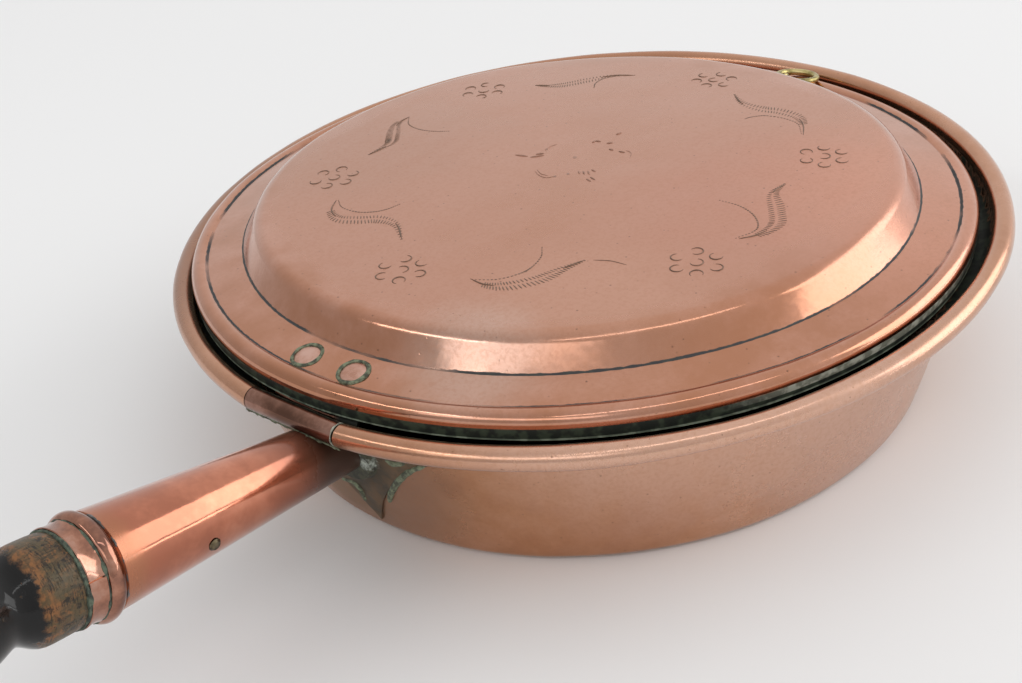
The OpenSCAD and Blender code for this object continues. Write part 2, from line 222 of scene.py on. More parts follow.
def spline(points: Sequence[Point2], n: int) -> List[Vector]:
    """A smooth line through points.

    Args:
        points: Points to pass through.
        n: Number of steps over the whole line.

    Returns:
        n + 1 points spread evenly over the spans.
    """
    pts = [Vector(p) for p in points]
    pts = [2 * pts[0] - pts[1]] + pts + [2 * pts[-1] - pts[-2]]
    out = []
    for i in range(n + 1):
        u = i / n * (len(points) - 1)
        k = min(int(u), len(points) - 2)
        f = u - k
        a, b, c, d = pts[k : k + 4]
        square, cube = 2 * a - 5 * b + 4 * c - d, 3 * b - a - 3 * c + d
        out.append(0.5 * (2 * b + (c - a) * f + square * f * f + cube * f**3))
    return out


def bead_outline(r: float, z: float, out: float, up: float) -> List[Point2]:
    """Outline of a small round bead that runs round the Z axis.

    Args:
        r: Radius of its middle.
        z: Height of its middle.
        out: Half of its width.
        up: Half of its height.

    Returns:
        Its eight points.
    """
    angles = [math.tau * k / 8 for k in range(8)]
    return [(r + out * math.cos(a), z + up * math.sin(a)) for a in angles]


# ---------------------------------------------------------------- mesh shaping


def add_object(name: str, data: bpy.types.ID) -> Object:
    """Adds an object to the scene.

    Args:
        name: Object's name.
        data: Its mesh, lamp or camera.

    Returns:
        The object.
    """
    obj = bpy.data.objects.new(name, data)
    bpy.context.scene.collection.objects.link(obj)
    return obj


def to_mesh(bm: BMesh, name: str) -> bpy.types.Mesh:
    """Turns a bmesh into a mesh.

    Args:
        bm: The bmesh; it is freed.
        name: Mesh's name.

    Returns:
        The mesh.
    """
    me = bpy.data.meshes.new(name)
    bm.to_mesh(me)
    bm.free()
    return me


def revolve(outline: Sequence[Point2], steps: int, closed: bool = False) -> BMesh:
    """Spins an outline round the Z axis.

    Args:
        outline: Radius and height of its points.
        steps: Steps of the full turn.
        closed: Whether the last point joins the first one.

    Returns:
        The turned mesh, with its faces outwards.
    """
    bm = bmesh.new()
    verts = [bm.verts.new((x, 0, z)) for x, z in outline]
    ends = verts[1:] + ([verts[0]] if closed else [])
    edges = [bm.edges.new(pair) for pair in zip(verts, ends)]
    zero = (0, 0, 0)
    bmesh.ops.spin(
        bm, geom=verts + edges, axis=(0, 0, 1), cent=zero, dvec=zero, angle=math.tau, steps=steps,
        use_merge=True, use_duplicate=False,
    )
    bmesh.ops.remove_doubles(bm, verts=bm.verts, dist=1e-4)
    bmesh.ops.recalc_face_normals(bm, faces=bm.faces)
    return bm


def sweep(path: Sequence[Vector], radius: Callable[[float], float], sides: int) -> BMesh:
    """Draws a round bar along a path.

    Args:
        path: Points of its middle.
        radius: Bar's radius at a share from 0 to 1 of the path.
        sides: Number of sides.

    Returns:
        The bar's mesh, with closed ends.
    """
    bm = bmesh.new()
    points = [p.to_3d() for p in path]
    loop = list(bmesh.ops.create_circle(bm, cap_ends=True, segments=sides, radius=1.0)["verts"])
    last = len(points) - 1
    here = Matrix.Identity(4)
    for i, p in enumerate(points):
        run = points[min(i + 1, last)] - points[max(i - 1, 0)]
        turn = run.to_track_quat("Z", "Y").to_matrix().to_4x4()
        there = Matrix.Translation(p) @ turn @ Matrix.Scale(max(radius(i / last), 1e-3), 4)
        if i:
            ring = [e for e in bm.edges if e.verts[0] in loop and e.verts[1] in loop]
            made = bmesh.ops.extrude_edge_only(bm, edges=ring)
            loop = [g for g in made["geom"] if isinstance(g, BMVert)]
        bmesh.ops.transform(bm, matrix=there @ here.inverted(), verts=loop)
        here = there
    bmesh.ops.contextual_create(bm, geom=[e for e in bm.edges if e.is_boundary])
    bmesh.ops.recalc_face_normals(bm, faces=bm.faces)
    return bm


def swell(u: float, power: float) -> float:
    """Returns 0 at both ends and 1 in the middle of a share from 0 to 1."""
    return math.sin(math.pi * u) ** power


def merge_into(target: BMesh, part: BMesh) -> None:
    """Adds a part's mesh to a target and frees the part."""
    me = to_mesh(part, "part")
    target.from_mesh(me)
    bpy.data.meshes.remove(me)


def unevenness(p: Vector, amount: float, size: float, seed: float) -> float:
    """Measures the slight unevenness of hand work.

    Args:
        p: Point of the surface.
        amount: Largest move in millimetres.
        size: Width of the waves in millimetres.
        seed: Picks the pattern.

    Returns:
        How far the surface is lifted there.
    """
    return noise.noise(p / size + Vector((seed, seed * 1.7, -seed))) * amount


def wobble(bm: BMesh, *waves: Point3) -> None:
    """Gives a surface the slight unevenness of hand work.

    Args:
        bm: Mesh to change.
        *waves: Amount, size and seed of each pattern, as unevenness takes them.
    """
    for wave in waves:
        bm.normal_update()
        moves = [(v, v.normal * unevenness(v.co, *wave)) for v in bm.verts]
        for v, move in moves:
            v.co += move


def place(
    bm: BMesh,
    name: str,
    frame: Matrix,
    body: Body,
    material: Material,
    slot: Slot,
    replaces: Iterable[str] = (),
    sharp: float = 40.0,
) -> Object:
    """Turns a mesh in millimetres into a finished piece in the row's frame.

    Args:
        bm: Mesh in its own frame; it is freed.
        name: Piece's name.
        frame: Its frame in millimetres.
        body: Body that it rides on.
        material: Its material.
        slot: Record slot of its finish; not used.
        replaces: CAD nodes that it stands for.
        sharp: Angle in degrees above which an edge stays crisp.

    Returns:
        The new object.
    """
    bmesh.ops.transform(bm, matrix=Matrix.Scale(MM, 4) @ frame, verts=bm.verts)
    me = to_mesh(bm, name)
    me.shade_smooth()
    me.set_sharp_from_angle(angle=math.radians(sharp))
    me.materials.append(material)
    obj = add_object(name, me)
    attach(obj, body.value)
    if replaces:
        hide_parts(*replaces)
    LOG.info("%s: %d faces on %s", name, len(me.polygons), body.value)
    return obj


def cut_mesh(bm: BMesh, cutter: BMesh) -> BMesh:
    """Cuts one mesh out of another.

    Args:
        bm: Mesh to cut; it is freed.
        cutter: Mesh that cuts; it is freed.

    Returns:
        The cut mesh.
    """
    whole, tool = (add_object("cut", to_mesh(part, "cut")) for part in (bm, cutter))
    mod = whole.modifiers.new("cut", "BOOLEAN")
    mod.operation = "DIFFERENCE"
    mod.solver = "EXACT"
    mod.object = tool
    out = bmesh.new()
    out.from_mesh(whole.evaluated_get(bpy.context.evaluated_depsgraph_get()).to_mesh())
    for obj in (whole, tool):
        bpy.data.meshes.remove(obj.data)
    return out


def cut_box(bm: BMesh, frame: Matrix, low: Sequence[float], high: Sequence[float]) -> BMesh:
    """Cuts a box out of a mesh.

    Args:
        bm: Mesh to cut; it is freed.
        frame: Box's frame.
        low: Box's lowest corner.
        high: Box's highest corner.

    Returns:
        The cut mesh.
    """
    cutter = bmesh.new()
    bmesh.ops.create_cube(cutter, size=1.0)
    size = [b - a for a, b in zip(low, high)]
    mid = Vector([(a + b) / 2 for a, b in zip(low, high)])
    box = frame @ Matrix.Translation(mid) @ Matrix.Diagonal((*size, 1))
    bmesh.ops.transform(cutter, matrix=box, verts=cutter.verts)
    return cut_mesh(bm, cutter)


# ---------------------------------------------------------------- node tools


class Nodes:
    """Adds and links the nodes of one tree."""

    def __init__(self, tree: NodeTree) -> None:
        """Keeps the tree to build in."""
        self.tree = tree

    def fill(self, node: Node, inputs: Dict[Union[int, str], Value]) -> Node:
        """Sets a node's inputs.

        Args:
            node: The node.
            inputs: Values or sockets by input name or number.

        Returns:
            The same node.
        """
        for key, value in inputs.items():
            spot = node.inputs[key]
            if isinstance(value, NodeSocket):
                self.tree.links.new(value, spot)
            else:
                spot.default_value = (*value, 1.0) if spot.type == "RGBA" else value
        return node

    def add(self, kind: str, inputs: Dict[Union[int, str], Value], **props: object) -> Node:
        """Adds a shader node.

        Args:
            kind: Node type, without the ShaderNode that all of them start with.
            inputs: Values or sockets by input name or number.
            **props: Settings of the node.

        Returns:
            The node.
        """
        node = self.tree.nodes.new("ShaderNode" + kind)
        for key, value in props.items():
            setattr(node, key, value)
        return self.fill(node, inputs)

    def math(self, op: str, a: Value, b: Value = 0.0, clamp: bool = False) -> NodeSocket:
        """Returns the result of a Math node."""
        return self.add("Math", {0: a, 1: b}, operation=op, use_clamp=clamp).outputs[0]

    def plus(self, a: Value, b: Value, clamp: bool = False) -> NodeSocket:
        """Returns a + b."""
        return self.math("ADD", a, b, clamp)

    def minus(self, a: Value, b: Value, clamp: bool = False) -> NodeSocket:
        """Returns a - b."""
        return self.math("SUBTRACT", a, b, clamp)

    def times(self, a: Value, b: Value, clamp: bool = False) -> NodeSocket:
        """Returns a * b."""
        return self.math("MULTIPLY", a, b, clamp)

    def over(self, a: Value, b: Value) -> NodeSocket:
        """Returns a / b."""
        return self.math("DIVIDE", a, b)

    def swing(self, value: Value, reach: Value) -> NodeSocket:
        """Returns a value round 0.5 as one round 0, stretched by a reach."""
        return self.times(self.minus(value, 0.5), reach)

    def vector(self, op: str, a: Value, b: Value = (0.0, 0.0, 0.0)) -> NodeSocket:
        """Returns the result of a Vector Math node, a number where the operation gives one."""
        node = self.add("VectorMath", {0: a, 1: b}, operation=op)
        return node.outputs["Value" if op in ("LENGTH", "DISTANCE", "DOT_PRODUCT") else "Vector"]

    def span(self, value: Value, low: float, high: float, to: Point2 = (0.0, 1.0)) -> NodeSocket:
        """Returns a value mapped smoothly from low..high to a new span."""
        ends = {0: value, 1: low, 2: high, 3: to[0], 4: to[1]}
        return self.add("MapRange", ends, interpolation_type="SMOOTHSTEP").outputs[0]

    def mix(self, share: Value, a: Value, b: Value) -> NodeSocket:
        """Returns the colour between two colours."""
        return self.add("Mix", {0: share, 6: a, 7: b}, data_type="RGBA").outputs[2]

    def noise(self, where: Value, scale: Value, detail: float = 3.0, rough: float = 0.55) -> NodeSocket:
        """Returns the value of a noise pattern."""
        settings = {"Vector": where, "Scale": scale, "Detail": detail, "Roughness": rough}
        return self.add("TexNoise", settings).outputs[0]

    def group(self, tree: NodeTree, **values: Value) -> bpy.types.bpy_prop_collection:
        """Returns the outputs of a new group node whose inputs are set."""
        return self.add("Group", values, node_tree=tree).outputs


class Group(Nodes):
    """A shader node group in the making."""

    def __init__(self, name: str, ins: Dict[str, Union[str, Value]], outs: Dict[str, str]) -> None:
        """Starts the group.

        Args:
            name: Group's name.
            ins: Default of each input, or its kind where it has no default.
            outs: Kind of each output.
        """
        super().__init__(bpy.data.node_groups.new(name, "ShaderNodeTree"))
        face = self.tree.interface
        for label, value in ins.items():
            plain = "Vector" if isinstance(value, tuple) else "Float"
            kind = value if isinstance(value, str) else plain
            sock = face.new_socket(label, in_out="INPUT", socket_type="NodeSocket" + kind)
            if kind != value:
                sock.default_value = value
        for label, kind in outs.items():
            face.new_socket(label, in_out="OUTPUT", socket_type="NodeSocket" + kind)
        self.given = self.tree.nodes.new("NodeGroupInput").outputs
        self.end = self.tree.nodes.new("NodeGroupOutput")

    def close(self, **results: NodeSocket) -> NodeTree:
        """Feeds the group's outputs by their names, and returns the group."""
        self.fill(self.end, results)
        return self.tree


class Effects:
    """Shader node groups that several finishes share."""

    def __init__(self) -> None:
        """Builds every group once."""
        self.patina = self._patina()
        self.pits = self._pits()
        self.line = self._line()
        self.rub = self._rub()
        self.spot = self._spot()

    @staticmethod
    def _patina() -> NodeTree:
        """Builds the group for cloudy copper.

        Returns:
            The group, which puts out a colour, and its clouds as a value.
        """
        g = Group(
            "cloudy_patina",
            {"Vector": "Vector", "Size": 40.0, "Base": "Color", "Pale": "Color", "Deep": "Color",
             "Seed": 0.0},
            {"Color": "Color", "Cloud": "Float"},
        )
        p = g.given
        shift = g.vector("ADD", p["Vector"], p["Seed"])
        big, mid, fine = (
            g.times(g.noise(shift, g.over(waves, p["Size"]), detail), share)
            for waves, detail, share in ((1.0, 3.0, 0.6), (5.0, 4.0, 0.3), (30.0, 3.0, 0.1))
        )
        cloud = g.plus(big, g.plus(mid, fine))
        deep = g.mix(g.span(cloud, 0.4, 0.56, (1.0, 0.0)), p["Base"], p["Deep"])
        return g.close(Color=g.mix(g.span(cloud, 0.5, 0.64), deep, p["Pale"]), Cloud=cloud)

    @staticmethod
    def _pits() -> NodeTree:
        """Builds the group for scattered small pits.

        Returns:
            The group, which puts out a mask of their floors.
        """
        g = Group("small_pits", {"Vector": "Vector", "Size": 4.0, "Share": 0.4}, {"Mask": "Float"})
        p = g.given
        cells = g.add("TexVoronoi", {"Vector": p["Vector"], "Scale": g.over(1.0, p["Size"])}).outputs
        pick = g.add("SeparateColor", {0: cells["Color"]}).outputs[0]
        some = g.math("LESS_THAN", pick, p["Share"])
        wide = g.times(g.plus(pick, 0.1), 0.24)
        inside = g.minus(1.0, g.over(cells["Distance"], wide), True)
        return g.close(Mask=g.times(inside, some))

    @staticmethod
    def _line() -> NodeTree:
        """Builds the group for a broken line round an axis at one radius, for crease dirt, painted shade and
        painted highlights.

        Returns:
            The group, which puts out its mask.
        """
        g = Group(
            "crease_line",
            {"Vector": "Vector", "Radius": 100.0, "Width": 1.0, "Break": 0.45, "Seed": 0.0},
            {"Mask": "Float"},
        )
        p = g.given
        out = g.vector("LENGTH", g.vector("MULTIPLY", p["Vector"], (1.0, 1.0, 0.0)))
        moved = g.vector("ADD", p["Vector"], p["Seed"])
        ragged, gaps = g.noise(moved, 0.35, 4.0), g.noise(moved, 0.02)
        off = g.math("ABSOLUTE", g.minus(out, p["Radius"]))
        wide = g.times(p["Width"], g.plus(g.times(ragged, 1.6), 0.2))
        solid = g.span(g.minus(1.0, g.over(off, wide), True), 0.3, 0.55)
        broken = g.times(g.minus(gaps, p["Break"]), 9.0, True)
        return g.close(Mask=g.times(solid, broken))

    @staticmethod
    def _rub() -> NodeTree:
        """Builds the group for fine rubbing marks.

        Returns:
            The group, which puts out a value round 0.5.
        """
        ins = {"Vector": "Vector", "Stretch": (0.05, 1.0, 1.0), "Size": 1.0}
        g = Group("rubbing_marks", ins, {"Value": "Float"})
        pulled = g.vector("MULTIPLY", g.given["Vector"], g.given["Stretch"])
        return g.close(Value=g.noise(pulled, g.over(1.0, g.given["Size"]), 4.0, 0.7))

    @staticmethod
    def _spot() -> NodeTree:
        """Builds the group for a ragged spot round a point.

        Returns:
            The group, which puts out its mask.
        """
        g = Group(
            "ragged_spot",
            {"Vector": "Vector", "Centre": (0.0, 0.0, 0.0), "Inner": 4.0, "Outer": 8.0, "Grain": 2.0,
             "Ragged": 2.0},
            {"Mask": "Float"},
        )
        p = g.given
        far = g.vector("DISTANCE", p["Vector"], p["Centre"])
        grain = g.noise(p["Vector"], g.over(1.0, p["Grain"]), 5.0, 0.6)
        edge = g.minus(p["Outer"], g.plus(far, g.swing(grain, p["Ragged"])))
        wide = g.minus(p["Outer"], p["Inner"])
        return g.close(Mask=g.span(g.over(edge, wide), 0.0, 1.0))


# ---------------------------------------------------------------- finishes


@dataclass(frozen=True)
class Crease:
    """A line of old dirt round the axis of a finish's frame, from one height to another; some lines also
    carry painted shade or a painted highlight.
    """

    radius: float
    width: float
    breaks: float = 0.4
    low: float = -1e4
    high: float = 1e4
    dark: Colour = (0.035, 0.034, 0.036)
    spot: Colour = (0.06, 0.075, 0.055)
    spots: float = 0.35
    centre: Optional[Point3] = None
    reach: float = 60.0
    rough: float = 0.4
    dull: float = 0.9


@dataclass(frozen=True)
class StainOrLight:
    """A ragged spot of another colour round a point of the finish's frame: a real stain, or a patch of
    painted light or painted shade.
    """

    centre: Point3
    inner: float
    outer: float
    colour: Colour
    share: float = 0.8
    rough: float = 0.2
    metal: float = 0.6
    grain: float = 5.0
    ragged: float = 6.0


@dataclass(frozen=True)
class Dust:
    """Dull film that lies above a height of the finish's frame."""

    low: float
    high: float
    rough: float = 0.16
    tint: Colour = (0.60, 0.335, 0.262)
    share: float = 0.8
    dull: float = 0.22


class Surface(Nodes):
    """A material in the making."""

    def __init__(self, name: str) -> None:
        """Starts a material that holds a Principled BSDF alone.

        Args:
            name: Material's name.
        """
        self.material = bpy.data.materials.new(name)
        self.material.use_nodes = True
        super().__init__(self.material.node_tree)

    def close(
        self, colour: Value, rough: Value, metal: Value, more: Optional[Dict[str, Value]] = None
    ) -> Material:
        """Feeds the Principled BSDF.

        Args:
            colour: Base colour.
            rough: Roughness.
            metal: Metallic.
            more: Values of other inputs by their names.

        Returns:
            The finished material.
        """
        shader = next(x for x in self.tree.nodes if x.type == "BSDF_PRINCIPLED")
        self.fill(shader, {"Base Color": colour, "Roughness": rough, "Metallic": metal, **(more or {})})
        return self.material


class WornSurface(Surface):
    """A material in the making whose patterns lie in a frame in millimetres."""

    def __init__(self, name: str, effects: Effects, frame: Matrix) -> None:
        """Starts the material.

        Args:
            name: Material's name.
            effects: Shared node groups.
            frame: The frame.
        """
        super().__init__(name)
        self.effects = effects
        back = frame.inverted()
        settings = {
            "Vector": self.add("TexCoord", {}).outputs["Object"],
            "Location": tuple(back.to_translation()),
            "Rotation": tuple(back.to_euler()),
            "Scale": (1 / MM, 1 / MM, 1 / MM),
        }
        self.where = self.add("Mapping", settings).outputs[0]

    def height(self) -> NodeSocket:
        """Returns the Z of the place."""
        return self.add("SeparateXYZ", {0: self.where}).outputs[2]

    def cloudy(
        self, scale: float, low: float, high: float, to: Point2, detail: float = 4.0, rough: float = 0.55
    ) -> NodeSocket:
        """Returns a noise pattern mapped smoothly from low..high to a new span."""
        return self.span(self.noise(self.where, scale, detail, rough), low, high, to)

    def rub(self, size: float, stretch: Point3) -> NodeSocket:
        """Returns the value of rubbing marks of a size, drawn out where the stretch is small."""
        return self.group(self.effects.rub, Vector=self.where, Size=size, Stretch=stretch)["Value"]

    def stain_or_light_mask(self, stain_or_light: StainOrLight) -> NodeSocket:
        """Marks where a stain, or a patch of painted light or shade, lies.

        Args:
            stain_or_light: The stain, or the patch of painted light or shade.

        Returns:
            Its mask.
        """
        return self.group(
            self.effects.spot, Vector=self.where, Centre=stain_or_light.centre, Inner=stain_or_light.inner,
            Outer=stain_or_light.outer, Grain=stain_or_light.grain, Ragged=stain_or_light.ragged,
        )["Mask"]

    def bump(self, height: Value, strength: float = 0.6) -> NodeSocket:
        """Returns the normal of a surface with a height in millimetres."""
        return self.add("Bump", {"Height": height, "Strength": strength, "Distance": MM}).outputs[0]


@dataclass
class Layers:
    """Colour, roughness and metal of a surface while its layers are laid."""

    surface: WornSurface
    colour: Value
    rough: Value
    metal: Value = 1.0

    def lay(self, mask: Value, colour: Value, rough: float, dull: float) -> None:
        """Lays dirt, a stain, painted light or painted shade over what there is.

        Args:
            mask: Where it lies.
            colour: Its colour.
            rough: What it adds to the roughness.
            dull: What it takes from the metal.
        """
        n = self.surface
        self.colour = n.mix(mask, self.colour, colour)
        self.rough = n.plus(self.rough, n.times(mask, rough), True)
        self.metal = n.minus(self.metal, n.times(mask, dull), True)


@dataclass(frozen=True)
class CopperFinish:
    """Old copper with clouds, pits, rubbing marks and dirt in its creases; some of its spots and crease lines
    are painted light or painted shade.
    """

    base: Colour = (0.52, 0.265, 0.19)
    pale: Colour = (0.62, 0.35, 0.275)
    deep: Colour = (0.40, 0.19, 0.125)
    rough: Point2 = (0.22, 0.36)
    cloud_size: float = 60.0
    pit_size: float = 4.0
    pit_share: float = 0.3
    pit_depth: float = 0.12
    pit_tone: float = 0.7
    pit_dark: float = 0.3
    cloud_span: Point2 = (0.35, 0.65)
    mottle: float = 0.0
    fleck_scale: float = 0.75
    fleck_span: Point2 = (0.44, 0.64)
    fleck_rough: float = 0.15
    rub_size: float = 6.0
    rub_stretch: Point3 = (0.12, 1.0, 1.0)
    rub_rough: float = 0.12
    rub_depth: float = 0.02
    dents: float = 0.5
    dent_scale: float = 0.06
    relief: float = 0.35
    dust: Optional[Dust] = None
    creases: Tuple[Crease, ...] = ()
    stains_or_light: Tuple[StainOrLight, ...] = ()
    wax: float = 0.0
    wax_rough: float = 0.12
    seed: float = 0.0
    seed_step: float = 7.3

    def make(self, name: str, effects: Effects, frame: Matrix) -> Material:
        """Builds the material.

        Args:
            name: Material's name.
            effects: Shared node groups.
            frame: Frame, in millimetres, in which the creases lie.

        Returns:
            The material.
        """
        n = WornSurface(name, effects, frame)
        cloud = n.group(
            effects.patina, Vector=n.where, Size=self.cloud_size, Base=self.base, Pale=self.pale,
            Deep=self.deep, Seed=self.seed,
        )
        pits = n.group(effects.pits, Vector=n.where, Size=self.pit_size, Share=self.pit_share)["Mask"]
        rub = n.rub(self.rub_size, self.rub_stretch)
        rough = n.span(cloud["Cloud"], *self.cloud_span, self.rough)
        layers = Layers(n, cloud["Color"], n.plus(rough, n.swing(rub, self.rub_rough)))
        if self.dust is not None:
            self._settle(layers, self.dust, cloud["Cloud"])
        # Lays real stains, and patches of painted light and painted shade.
        for stain_or_light in self.stains_or_light:
            mask = n.times(n.stain_or_light_mask(stain_or_light), stain_or_light.share)
            layers.lay(mask, stain_or_light.colour, stain_or_light.rough, 1 - stain_or_light.metal)
        flecks = n.cloudy(self.fleck_scale, *self.fleck_span, (0.0, self.mottle), 5.0, 0.7)
        layers.colour = n.mix(flecks, layers.colour, self.deep)
        layers.rough = n.plus(layers.rough, n.times(flecks, self.fleck_rough))
        floors = tuple(c * self.pit_dark for c in self.deep)
        layers.colour = n.mix(n.times(pits, self.pit_tone), layers.colour, floors)
        for k, crease in enumerate(self.creases):
            self._draw(layers, crease, self.seed + self.seed_step * k)
        dents = n.times(n.noise(n.where, self.dent_scale), self.dents)
        waves = n.plus(n.times(rub, self.rub_depth), dents)
        normal = n.bump(n.minus(waves, n.times(pits, self.pit_depth)), self.relief)
        more: Dict[str, Value] = {"Normal": normal, "Coat Roughness": self.wax_rough}
        if self.wax > 0:
            more["Coat Weight"] = n.times(layers.metal, self.wax, True)
        return n.close(layers.colour, layers.rough, layers.metal, more)

    def _settle(self, layers: Layers, dust: Dust, cloud: NodeSocket) -> None:
        """Lays the dull film.

        Args:
            layers: Layers that it goes on.
            dust: The film.
            cloud: Clouds that thin it.
        """
        n = layers.surface
        film = n.times(n.span(n.height(), dust.low, dust.high), n.span(cloud, 0.3, 0.6, (0.7, 1.0)))
        layers.colour = n.mix(n.times(film, dust.share), layers.colour, dust.tint)
        layers.rough = n.plus(layers.rough, n.times(film, dust.rough))
        layers.metal = n.minus(1.0, n.times(film, dust.dull))

    def _draw(self, layers: Layers, crease: Crease, seed: float) -> None:
        """Lays the dirt of one crease, with its painted shade or painted highlight where it has one.

        Args:
            layers: Layers that it goes on.
            crease: The crease.
            seed: Picks the pattern of its breaks.
        """
        n = layers.surface
        line = n.group(
            n.effects.line, Vector=n.where, Radius=crease.radius, Width=crease.width,
            Break=crease.breaks, Seed=seed,
        )
        up = n.height()
        between = n.times(n.math("GREATER_THAN", up, crease.low), n.math("LESS_THAN", up, crease.high))
        mask = n.times(line["Mask"], between)
        if crease.centre is not None:
            here = StainOrLight(crease.centre, crease.reach / 2, crease.reach, crease.spot)
            mask = n.times(mask, n.stain_or_light_mask(here))
        spots = n.cloudy(0.25, 0.45, 0.6, (0.0, crease.spots))
        layers.lay(mask, n.mix(spots, crease.dark, crease.spot), crease.rough, crease.dull)


@dataclass(frozen=True)
class CrustFinish:
    """Verdigris, dirt or dull iron: a rough crust of mottled colours."""

    low: Colour
    high: Colour
    size: float = 2.0
    rough: Point2 = (0.6, 0.85)
    metal: float = 0.0
    depth: float = 0.3
    stains_or_light: Tuple[StainOrLight, ...] = ()

    def make(self, name: str, effects: Effects, frame: Matrix) -> Material:
        """Builds the material.

        Args:
            name: Material's name.
            effects: Shared node groups.
            frame: Frame of its pattern in millimetres.

        Returns:
            The material.
        """
        n = WornSurface(name, effects, frame)
        grain = n.noise(n.where, 1.0 / self.size, 4.0, 0.65)
        colour = n.mix(n.span(grain, 0.38, 0.62), self.low, self.high)
        for stain_or_light in self.stains_or_light:
            colour = n.mix(n.times(n.stain_or_light_mask(stain_or_light), stain_or_light.share), colour, stain_or_light.colour)
        normal = n.bump(n.times(grain, self.depth))
        return n.close(colour, n.span(grain, 0.3, 0.7, self.rough), self.metal, {"Normal": normal})


@dataclass(frozen=True)
class WornWood:
    """Turned wood: bare, scratched and oiled by the socket, black varnish further out."""

    bare: Colour = (0.115, 0.066, 0.03)
    olive: Colour = (0.05, 0.036, 0.019)
    moss: Colour = (0.078, 0.058, 0.025)
    orange: Colour = (0.24, 0.10, 0.033)
    varnish: Colour = (0.006, 0.0055, 0.0055)
    edge: float = 110.3
    ragged: float = 7.0
    rough: Point2 = (0.38, 0.07)
    grain_rough: float = 0.08
    grain_depth: float = 0.05
    scratch_depth: float = 0.12
    varnish_depth: float = 0.12
    specular: float = 0.32

    def make(self, name: str, effects: Effects, frame: Matrix) -> Material:
        """Builds the material.

        Args:
            name: Material's name.
            effects: Shared node groups.
            frame: The handle's frame in millimetres.

        Returns:
            The material.
        """
        n = WornSurface(name, effects, frame)
        along = n.height()
        grain = n.rub(0.8, (1.0, 1.0, 0.14))
        out = n.plus(along, n.swing(n.noise(n.where, 0.3, 6.0, 0.6), self.ragged))
        wood = n.mix(n.span(grain, 0.4, 0.6), self.olive, self.bare)
        wood = n.mix(n.cloudy(0.7, 0.52, 0.64, (0.0, 0.75), 5.0), wood, self.orange)
        wood = n.mix(n.cloudy(0.12, 0.42, 0.52, (0.65, 0.0), 3.0), wood, self.moss)
        band = n.span(out, self.edge - 5.0, self.edge - 2.0, (0.0, 0.85))
        wood = n.mix(n.times(band, n.cloudy(0.4, 0.42, 0.56, (0.15, 1.0))), wood, self.orange)
        dark = self._scratches(n)
        wood = n.mix(dark, wood, self.varnish)
        coat = n.span(out, self.edge - 1.0, self.edge + 1.0)
        chips = n.cloudy(0.5, 0.68, 0.74, (0.0, 0.3), 3.0)
        coat = n.minus(coat, n.times(chips, coat), True)
        rough = n.plus(n.span(coat, 0.0, 1.0, self.rough), n.swing(grain, self.grain_rough))
        cuts = n.plus(n.times(dark, self.scratch_depth), n.times(grain, self.grain_depth))
        cuts = n.times(cuts, n.minus(1.0, n.times(coat, 0.9)))
        normal = n.bump(n.minus(n.times(coat, self.varnish_depth), cuts))
        more = {"Normal": normal, "Specular IOR Level": self.specular}
        return n.close(n.mix(coat, wood, self.varnish), rough, 0.0, more)

    def _scratches(self, n: WornSurface) -> NodeSocket:
        """Marks the bare wood with dark rings, cross marks and blots.

        Args:
            n: The wood's surface.

        Returns:
            Their mask.
        """
        rings = n.span(n.rub(1.0, (0.3, 0.3, 1.9)), 0.49, 0.6, (0.0, 0.85))
        cross = n.span(n.rub(1.0, (1.4, 1.4, 0.3)), 0.6, 0.66, (0.0, 0.7))
        patch = n.cloudy(0.16, 0.44, 0.58, (0.22, 1.0), rough=0.7)
        blots = n.cloudy(0.3, 0.55, 0.62, (0.0, 0.8), 5.0, 0.7)
        return n.math("MAXIMUM", n.times(n.math("MAXIMUM", rings, cross), patch), blots)


# ---------------------------------------------------------------- the pan


